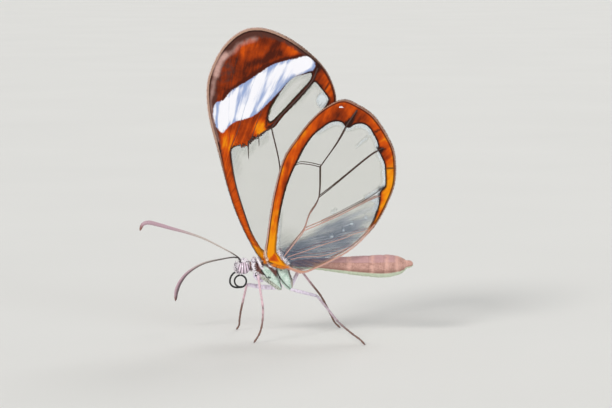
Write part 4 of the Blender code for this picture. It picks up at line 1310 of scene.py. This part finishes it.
# %% [markdown]
# Over the skin lies a coat of scales. On the head and collar they are long and ragged, white ones among dark
# plum ones; on the chest short, on the abdomen no more than a nap. Each is rooted on a point of the skin and
# lies back along the body. They are made in a few groups, each one mesh.

# %% Grow the coat


def coat(name, slot, chosen, count, length, width, lift, flow, spread):
    """Scales rooted on the chosen points of the skin. flow gives the direction that they lie in."""
    spots = np.flatnonzero(chosen)
    picked = spots[chance.integers(0, len(spots), count)]
    roots = skin_points[picked] + chance.normal(0, SKIN_VOXEL * 0.35, (count, 3))
    normals = skin_normals[picked]
    along = flow(roots) + chance.normal(0, spread, (count, 3))
    along = along - (along * normals).sum(1)[:, None] * normals
    lengths = length * chance.uniform(0.6, 1.25, count)
    unwrap = around(skin_points[picked]) * (1, 0.97)
    shape = blades(roots, along, normals, lengths, width, lift, unwrap)
    group = Gather()
    fields = {field: on_blades(values) for field, values in patches_at(roots).items()}
    group.add(*shape, tone=on_blades(chance.random(count)), **fields)
    return settle(group.made(name, tuft_finish, 35), slot)


def backward(points):
    """Back and a little down, along the body."""
    return np.tile((1.0, 0.0, -0.25), (len(points), 1))


def hip_ward(points):
    """Down and back, the way that the plates of the hips run."""
    return np.tile((0.6, 0.0, -0.8), (len(points), 1))


def from_face(points):
    """Away from the middle of the face."""
    return points - (-4.5, 0.0, 9.0) + (0.2, 0.0, -0.2)


x, y, z = skin_points.T
on_head = (x < -3.3) & (np.hypot(x + 4.12, z - 8.85) > 0.62)
on_collar = (x >= -3.3) & (x < -2.0)
on_chest = (x >= -2.0) & (x < 2.0)
on_flank = on_chest & (skin_patches["amber"] < 0.4) & (skin_patches["black"] < 0.3)
coat("head_tufts", "head_scales", on_head, 1500, 0.25, 0.075, 0.16, from_face, 0.3)
coat("collar_tufts", "body_scales", on_collar, 2000, 0.22, 0.075, 0.14, backward, 0.25)
coat("chest_scales", "body_scales", on_flank, 3800, 0.17, 0.07, 0.16, hip_ward, 0.25)
on_hinge = on_chest & (skin_patches["amber"] > 0.4)
coat("hinge_scales", "body_scales", on_hinge, 1100, 0.3, 0.08, 0.3, backward, 0.3)
coat("abdomen_scales", "abdomen_scales", x >= 2.0, 7000, 0.17, 0.07, 0.1, backward, 0.18)
white_tuft = on_chest & (skin_patches["white"] > 0.3)
coat("white_tufts", "body_scales", white_tuft, 600, 0.26, 0.07, 0.16, backward, 0.3)

# %% [markdown]
# Long hair-like scales stand where the wings leave the body: bluish white behind the root of the hindwing,
# cream along its front edge. They root on the wings themselves.

# %% Tufts at the roots of the wings
ROOT_TUFTS = (
    # wing, route of the roots in side view, direction of the hair, count, length, colour
    ("hindwing", ((0.2, 10.9), (0.5, 10.3), (0.95, 9.85), (1.45, 9.45)), (0.75, 0.85), 170, 0.42, "white"),
    ("hindwing", ((-1.1, 9.85), (-1.3, 10.4), (-1.3, 11.0)), (-0.08, 1.0), 90, 0.36, "cream"),
    ("forewing", ((-1.4, 9.9), (-1.42, 10.6)), (0.05, 1.0), 70, 0.34, "cream"),
    ("hindwing", ((0.0, 9.15), (0.6, 9.0), (1.3, 9.1)), (0.8, -0.1), 160, 0.4, "amber"),
    ("forewing", ((-1.7, 9.8), (-1.4, 9.75), (-1.1, 9.8)), (-0.3, 0.9), 140, 0.4, "amber"),
)


def all_of(patch):
    """Fields of a piece that one kind of scale covers all over."""
    return {field: float(field == patch) for field in skin_patches}


for side in (LEFT, RIGHT):
    tufts = Gather()
    for kind, route, lean, count, length, tint in ROOT_TUFTS:
        path = smooth_line(route, 0.05)
        each = count // 2
        for face_side in (-1, 1):
            flat = path[chance.integers(0, len(path), each)] + chance.normal(0, 0.07, (each, 2))
            roots = np.stack((flat[:, 0], side * middle_of(flat, kind) + face_side * 0.05, flat[:, 1]), 1)
            along = (lean[0], face_side * 0.12, lean[1]) + chance.normal(0, 0.22, (each, 3))
            up = np.tile((0.0, float(face_side), 0.0), (each, 1))
            lengths = length * chance.uniform(0.5, 1.2, each)
            shape = blades(roots, along, up, lengths, 0.055, 0.25, np.clip(around(roots), 0.01, 0.98))
            patch = all_of("amber" if tint == "amber" else "white")
            tufts.add(*shape, tone=on_blades(chance.random(each)), cream=float(tint == "cream"), **patch)
    settle(tufts.made("root_tufts_" + SIDE_NAMES[side], tuft_finish, 35), "body_scales")

# %% [markdown]
# The palps are the two furry fingers in front of the face, and between them the tongue begins. They are
# slender tubes under a bristly coat that points forward and up.

# %% Palps
PALP_ROUTE = (
    (-4.25, 0.18, 8.12), (-4.65, 0.22, 8.0), (-5.0, 0.27, 8.2), (-5.2, 0.3, 8.62), (-5.2, 0.3, 9.0),
    (-5.08, 0.26, 9.38),
)
PALP_HAIRS = 420

for side in (LEFT, RIGHT):
    path = smooth_line(on_side(PALP_ROUTE, side), 0.12)
    t = np.linspace(0, 1, len(path))
    points, faces = tube(path, 0.13 - 0.08 * t, 0.12 - 0.07 * t, (0, 1, 0), 10)
    at = chance.random(PALP_HAIRS)
    spot, ahead = places_on(path, at)
    out = unit(np.cross(ahead, chance.normal(0, 1, (PALP_HAIRS, 3))))
    roots = spot + out * (0.12 - 0.075 * at)[:, None]
    lengths = 0.24 * chance.uniform(0.6, 1.2, PALP_HAIRS)
    shape = blades(roots, ahead + out * 0.35, out, lengths, 0.05, 0.25, around(roots))
    palp = Gather()
    palp.add(points, faces, np.vstack([around(points)[face] for face in faces]), tone=0.6, **all_of("front"))
    palp.add(*shape, tone=on_blades(chance.random(PALP_HAIRS)), **all_of("front"))
    settle(palp.made("palp_" + SIDE_NAMES[side], tuft_finish, 35), "head_scales")

# %% [markdown]
# The eyes are domes of fine facets, pale lilac and banded from top to bottom with dark curved stripes. Each
# dome is a fine ball sunk in the head. Its stripes follow a fan, a number stored at its points, and the
# facets are a cell pattern.

# %% Eyes
EYE_PALE = colour(244, 232, 246)
EYE_ROSE = colour(228, 198, 218)
EYE_DARK = colour(38, 26, 34)

eye_finish = Finish("eye_facets")
bands = eye_finish.node("ShaderNodeMath", {"operation": "COSINE"}, {0: eye_finish.field("fan") * 25.0})
stripe = eye_finish.slope(0.35, 0.75, bands)
tint = eye_finish.mix(eye_finish.noise(eye_finish.place(), 1.4), EYE_ROSE, EYE_PALE)
facets = eye_finish.cells(eye_finish.place(), 16.0)
eye_finish.feed(Base_Color=eye_finish.mix(stripe, tint, EYE_DARK))
eye_finish.feed(Roughness=0.16 + facets * 0.2, Coat_Weight=0.6)
eye_finish.relief(facets, 0.02, 0.4)
EYE_RINGS = 41
EYE_STEPS = 72
down = np.linspace(0.02, math.pi - 0.02, EYE_RINGS)
about = np.linspace(0, math.tau, EYE_STEPS, endpoint=False)
dome = [(math.sin(a) * math.cos(b), math.sin(a) * math.sin(b), math.cos(a)) for a in down for b in about]
dome = np.array(dome)
faces = [face[::-1] for face in barrel_faces(EYE_RINGS, EYE_STEPS)]
fan = dome[:, 0] / (1.7 - 0.6 * dome[:, 2])
for side in (LEFT, RIGHT):
    points = dome * (0.78, 0.62, 0.74) + (-4.08, side * 0.5, 8.73)
    eye = piece("striped_eye_" + SIDE_NAMES[side], points, faces, eye_finish, dict(fan=fan))
    settle(eye, "eye", "eye_" + SIDE_NAMES[side])

# %% [markdown]
# Feelers, tongue and legs are thinner than the solids, which were thickened to hold together. They are tubes
# whose rings carry the real joints. The feelers come first: each is ringed all along, grows thicker towards
# the end and closes with a slim club.

# %% Feelers
ANTENNA_ROUTES = {
    LEFT: (
        (-4.52, -0.44, 9.5), (-4.7, -0.42, 10.0), (-5.5, -0.6, 10.6), (-6.3, -0.8, 11.08),
        (-9.0, -1.4, 12.55), (-11.2, -1.9, 13.4), (-13.0, -2.3, 13.95), (-14.8, -2.6, 14.5),
        (-15.9, -2.8, 14.75), (-16.6, -2.9, 14.5), (-16.95, -3.0, 13.75),
    ),
    RIGHT: (
        (-4.7, 0.34, 9.7), (-4.8, 0.42, 9.92), (-5.1, 0.62, 9.93), (-5.5, 0.95, 9.92), (-6.64, 1.8, 9.64),
        (-9.25, 3.4, 8.85), (-11.2, 4.6, 7.6), (-12.3, 5.1, 6.3), (-12.85, 5.4, 5.0), (-13.0, 5.5, 3.7),
    ),
}

feeler_finish = Finish("feeler_cuticle")
way = feeler_finish.field("way")
rings_tone = feeler_finish.field("ringed")
worn = feeler_finish.noise(feeler_finish.place(), 3.0, 3.0)
shaft = feeler_finish.mix(feeler_finish.slope(0.03, 0.22, way), colour(52, 40, 44), colour(196, 184, 176))
shaft = feeler_finish.mix(feeler_finish.slope(0.4, 0.72, way), shaft, colour(190, 158, 170))
shaft = feeler_finish.mix(feeler_finish.slope(0.93, 0.985, way), shaft, colour(142, 98, 88))
shaft = feeler_finish.mix(feeler_finish.slope(0.4, 0.9, rings_tone) * 0.25, shaft, colour(110, 84, 84))
# Painted shade: the far feeler is made darker on one side and near the head.
shaft = feeler_finish.mix(feeler_finish.field("under") * 0.75, shaft, colour(48, 36, 38))
feeler_finish.feed(Base_Color=shaft, Roughness=0.42 + worn * 0.2)

FEELER_SIDES = 12
FEELER_RINGS = 52
FEELER_RADII = (
    # share of its length, radius
    (0, 0.088), (0.15, 0.09), (0.3, 0.105), (0.45, 0.14), (0.6, 0.18), (0.75, 0.24), (0.88, 0.28),
    (0.96, 0.22), (1, 0.11),
)
shaded_side = np.clip(1.4 * np.cos(np.linspace(0, math.tau, FEELER_SIDES, endpoint=False) + 0.55), 0, 1)

for side in (LEFT, RIGHT):
    path = smooth_line(ANTENNA_ROUTES[side], 0.07)
    t = np.linspace(0, 1, len(path))
    ringed = np.exp(-(((t * FEELER_RINGS) % 1.0 - 0.5) / 0.16) ** 2)
    radius = np.interp(t, *zip(*FEELER_RADII)) * (1 - 0.14 * ringed)
    radius[-3:] *= (0.85, 0.65, 0.4)
    # Painted shade, on the far feeler only: one side of every ring and the part nearest the head are
    # darkened.
    under = np.maximum(np.tile(shaded_side, len(path)), np.repeat(smooth(0.5, 0.25, t), FEELER_SIDES))
    feeler = Gather()
    feeler.add_tube(
        path, radius, radius * 0.85, (0, 1, 0), FEELER_SIDES, way=on_rings(t, FEELER_SIDES, (0, 1)),
        ringed=on_rings(ringed, FEELER_SIDES), under=np.append(under, (0, 0)) * (side == RIGHT),
    )
    name = SIDE_NAMES[side]
    settle(feeler.made("feeler_" + name, feeler_finish), "antenna_cuticle", "antenna_" + name)

# %% [markdown]
# At rest the tongue is rolled up under the head, a turn and a half of a spiral that closes quickly at first
# and then more slowly. The spiral is a formula, so the tongue stays evenly round, and fine ridges run across
# it as on a hose.

# %% Tongue
tongue_finish = Finish("tongue_cuticle")
groove = tongue_finish.field("ringed")
sheen = tongue_finish.noise(tongue_finish.place(), 2.5)
tongue_finish.feed(
    Base_Color=tongue_finish.mix(groove * 0.6 + sheen * 0.3, colour(18, 15, 17), colour(5, 4, 5)),
    Roughness=0.35 + sheen * 0.2,
)
TONGUE_SIDES = 12
turn = np.linspace(112, 650, 500)
angles = np.radians(turn)
reach = 1.3 + (0.78 - 1.3) * smooth(185, 270, turn) - 0.06 * np.maximum(0, (turn - 270) / 290)
sidestep = -0.12 * smooth(540, 640, turn)
coil = np.stack((-4.55 + reach * np.cos(angles), sidestep, 7.02 + reach * np.sin(angles)), 1)
coil = np.vstack((smooth_line([(-4.75, 0, 8.7), (-5.0, 0, 8.45), tuple(coil[0])], 0.05)[:-1], coil))
t = np.linspace(0, 1, len(coil))
ridges = np.sin(t * 420)
radius = (0.12 - 0.015 * t) * (1 + 0.07 * ridges)
tongue = Gather()
ringed = on_rings(0.5 - 0.5 * ridges, TONGUE_SIDES)
tongue.add_tube(coil, radius, radius * 1.1, (0, 1, 0), TONGUE_SIDES, ringed=ringed)
settle(tongue.made("tongue", tongue_finish), "dark_cuticle", "proboscis")

# %% [markdown]
# A leg has a stout thigh, a thinner shin and a foot of five short joints with two claws. Each route runs from
# the tip of the hip through the knee to the toe. One table holds what differs from leg to leg.

# %% Legs
LEGS = {
    # knee, shin's end, ankle, heel, toe
    ("mid", LEFT): (
        (-2.24, -4.0, 8.4), (-1.63, -4.8, 4.34), (-1.7, -5.05, 2.5), (-2.05, -5.22, 1.15), (-2.7, -5.36, 0.1),
    ),
    ("hind", LEFT): (
        (5.1, -3.7, 5.65), (7.75, -5.5, 2.65), (9.3, -6.2, 1.4), (10.4, -6.75, 0.66), (10.95, -6.95, 0.1),
    ),
    ("mid", RIGHT): (
        (-3.8, 2.4, 6.25), (-4.6, 4.1, 2.6), (-4.78, 4.7, 1.35), (-4.85, 5.0, 0.65), (-5.15, 5.35, 0.1),
    ),
    ("hind", RIGHT): (
        (2.9, 3.7, 8.15), (5.7, 5.1, 4.3), (6.85, 5.85, 2.0), (7.4, 6.35, 0.85), (8.05, 6.85, 0.1),
    ),
}
LEG_LOOKS = {
    # how much stouter the thigh is, and how far the colour has run to brown at the hip, knee and shin's end
    ("mid", LEFT): (0.09, 0.0, 0.36, 0.66),
    ("hind", LEFT): (0.06, 0.15, 0.3, 0.8),
    ("mid", RIGHT): (0.15, 0.0, 0.36, 0.95),
    ("hind", RIGHT): (0.1, 0.1, 0.5, 0.95),
}
THIGH_SAG = {("mid", RIGHT): 0.14}
LEG_SIDES = 12
LEG_SPINES = 44
# Along X, Y and Z: the middle and the spread of the way that spines point
SPINE_SLANTS = ((0, 1), (0, 1), (-0.2, 0.5))
CLAW_SIDES = 8
LEG_PINK = colour(228, 194, 204)
LEG_LILAC = colour(248, 236, 255)
LEG_BROWN = colour(128, 96, 84)

leg_finish = Finish("leg_cuticle")
way = leg_finish.field("way")
worn = leg_finish.noise(leg_finish.stretch(leg_finish.place(), (1, 1, 0.5)), 4.0, 4.0)
specks = leg_finish.slope(0.5, 0.6, leg_finish.noise(leg_finish.place(), 8.0, 2.0))
moss = leg_finish.mix(specks, colour(222, 228, 212), colour(92, 96, 86))
skin_tone = leg_finish.mix(leg_finish.field("mossy"), LEG_LILAC, moss)
skin_tone = leg_finish.mix(leg_finish.slope(0.3, 0.42, way), skin_tone, LEG_PINK)
skin_tone = leg_finish.mix(leg_finish.slope(0.62, 0.86, way + (worn - 0.5) * 0.2), skin_tone, LEG_BROWN)
dirty = leg_finish.slope(0.42, 0.85, worn + leg_finish.field("joint") * 0.4) * 0.55
skin_tone = leg_finish.mix(dirty, skin_tone, colour(100, 74, 80))
skin_tone = leg_finish.mix(leg_finish.field("ashen") * (0.5 + worn * 0.5), skin_tone, colour(150, 146, 160))
leg_finish.feed(Base_Color=skin_tone, Roughness=0.4 + worn * 0.25)
leg_scales = leg_finish.cells(leg_finish.stretch(leg_finish.place(), (12, 12, 6)), 1.0)
leg_finish.relief(worn + leg_scales, 0.03, 0.8)


def spines(path, at, out, length, width):
    """Small pointed bristles on a limb."""
    spot, ahead = places_on(path, at)
    out = unit(out - (out * ahead).sum(1)[:, None] * ahead)
    unwrap = np.stack((0.01 + 0.97 * at, np.full(len(at), 0.5)), 1)
    return blades(spot + out * 0.09, ahead + out * 0.5, out, length, width, 0.1, unwrap)


def leg_route(pair, side, knee, shin, ankle, heel, toe):
    """A smooth path from inside the hip to the toe, and the shares of it at which the joints lie."""
    hip = on_side(COXAE[0 if pair == "mid" else 1][1], side)
    sag = (0, 0, THIGH_SAG.get((pair, side), 0.0))
    path = smooth_line([
        hip + (0.0, 0.0, 0.35), hip, hip + (knee - hip) * 0.5 - sag, hip + (knee - hip) * 0.94,
        knee, knee + (shin - knee) * 0.06, (knee + shin) / 2, shin, ankle, heel, toe,
    ], 0.09)
    _, shares = distance_to(np.array([hip, knee, shin, ankle]), path)
    return path, shares


def add_claws(leg, heel, toe):
    """Two hooks that part at the toe and bend down."""
    ahead = (toe - heel) / np.linalg.norm(toe - heel)
    for way_out in (-1, 1):
        beside = np.array((-ahead[1], ahead[0], 0)) * way_out
        middle, tip = toe + ahead * 0.12 + beside * 0.07, toe + ahead * 0.2 + beside * 0.1 - (0, 0, 0.06)
        claw = smooth_line([toe, middle, tip], 0.03)
        taper = np.linspace(0.045, 0.012, len(claw))
        leg.add_tube(claw, taper, taper, (0, 0, 1), CLAW_SIDES, way=1.0, joint=1.0, mossy=0.0, ashen=0.0)


print("A leg has", LEG_SPINES, "spines")

# %% [markdown]
# Each walking leg is one tube, stoutest in the thigh, with a swelling before every joint and a waist on it.
# Spines grow on the shin and the foot. The colour runs from lilac at the hip through pink to brown, by a
# number that is read from the table of looks.

# %% Walking legs
for (pair, side), joints in LEGS.items():
    joints = np.array(joints)
    path, (at_hip, at_knee, at_shin, at_ankle) = leg_route(pair, side, *joints)
    stout, *tones = LEG_LOOKS[pair, side]
    t = travelled_along(path)
    t = t / t[-1]
    thigh = smooth(0, at_hip, t) * smooth(at_knee, at_knee - 0.03, t)
    radius = 0.15 + stout * thigh * np.sin(math.pi * np.clip(t / at_knee, 0, 1)) ** 0.5
    radius = radius - 0.035 * smooth(at_knee, 1.0, t)
    seams = np.concatenate((np.linspace(at_shin, 1.0, 6), (at_knee, at_hip)))
    joint = np.exp(-((t[:, None] - seams) / 0.006) ** 2).max(1)
    swell = np.exp(-((t[:, None] - seams + 0.016) / 0.01) ** 2).max(1)
    radius = radius * (1 - 0.22 * joint + 0.14 * swell)
    way = np.interp(t, (0, at_knee, at_shin, 1), (*tones, 1))
    mossy = smooth(at_knee - 0.015, at_knee - 0.05, t) * ((pair, side) == ("mid", LEFT))
    ashen_at = (0, at_knee * 0.6, at_knee + 0.03, at_shin - 0.05, at_ankle)
    ashen = np.interp(t, ashen_at, (0.1, 0.45, 0.9, 0.7, 0.0))
    ashen = ashen * ((pair, side) == ("hind", LEFT))
    leg = Gather()
    leg.add_tube(
        path, radius, radius * 0.92, (0, 1, 0.2), LEG_SIDES, way=on_rings(way, LEG_SIDES, (0, 1)),
        joint=on_rings(joint, LEG_SIDES), mossy=on_rings(mossy, LEG_SIDES), ashen=on_rings(ashen, LEG_SIDES),
    )
    at = np.linspace(at_knee + 0.03, 0.97, LEG_SPINES)
    out = np.stack([chance.normal(middle, spread, LEG_SPINES) for middle, spread in SPINE_SLANTS], 1)
    bristles, faces, unwrap = spines(path, at, out, 0.2, 0.035)
    bristles[:, 2] = np.maximum(bristles[:, 2], 0.0)
    leg.add(bristles, faces, unwrap, way=0.95, joint=0.6, mossy=0.0, ashen=0.0)
    add_claws(leg, joints[-2], joints[-1])
    name = SIDE_NAMES[side]
    settle(leg.made(f"{pair}_leg_{name}", leg_finish), "leg_cuticle", f"{pair}leg_{name}")

# %% [markdown]
# The front pair of legs is tiny in this family and stays folded under the collar, covered with pale hair.

# %% Folded front legs
FRONT_LEG_ROUTE = (
    (-2.6, 0.6, 8.1), (-2.75, 0.64, 7.8), (-2.5, 0.72, 7.45), (-2.1, 0.78, 7.2), (-1.75, 0.76, 7.15),
)
FRONT_LEG_HAIRS = 260

for side in (LEFT, RIGHT):
    path = smooth_line(on_side(FRONT_LEG_ROUTE, side), 0.07)
    radius = 0.15 - 0.07 * np.linspace(0, 1, len(path))
    leg = Gather()
    leg.add_tube(path, radius, radius, (0, 1, 0), 10, way=0.1, joint=0.0, mossy=0.0)
    at = chance.random(FRONT_LEG_HAIRS)
    hairs = spines(path, at, chance.normal(0, 1, (FRONT_LEG_HAIRS, 3)), 0.2, 0.04)
    leg.add(*hairs, way=0.12, joint=0.0, mossy=0.0)
    name = SIDE_NAMES[side]
    settle(leg.made("front_leg_" + name, leg_finish), "leg_cuticle", "foreleg_" + name)

# %% [markdown]
# The floor is a plain pale plate, wide enough that its rim lies far off. It belongs to the studio and not to
# the butterfly.

# %% Floor
FLOOR_RADIUS = 6000
FLOOR_STEPS = 96

floor_finish = Finish("floor_plaster")
floor_grain = floor_finish.noise(floor_finish.place(), 0.02, 2.0)
floor_colour = floor_finish.mix(floor_grain, colour(226, 226, 224), colour(232, 232, 230))
floor_finish.feed(Base_Color=floor_colour, Roughness=0.85)
angles = np.linspace(0, math.tau, FLOOR_STEPS, endpoint=False)
floor_points = np.stack((np.cos(angles), np.sin(angles), np.zeros(FLOOR_STEPS)), 1) * FLOOR_RADIUS
floor = piece("floor", floor_points, [list(range(FLOOR_STEPS))], floor_finish)
print("The floor reaches", floor_points.max() * MM, "m each way")
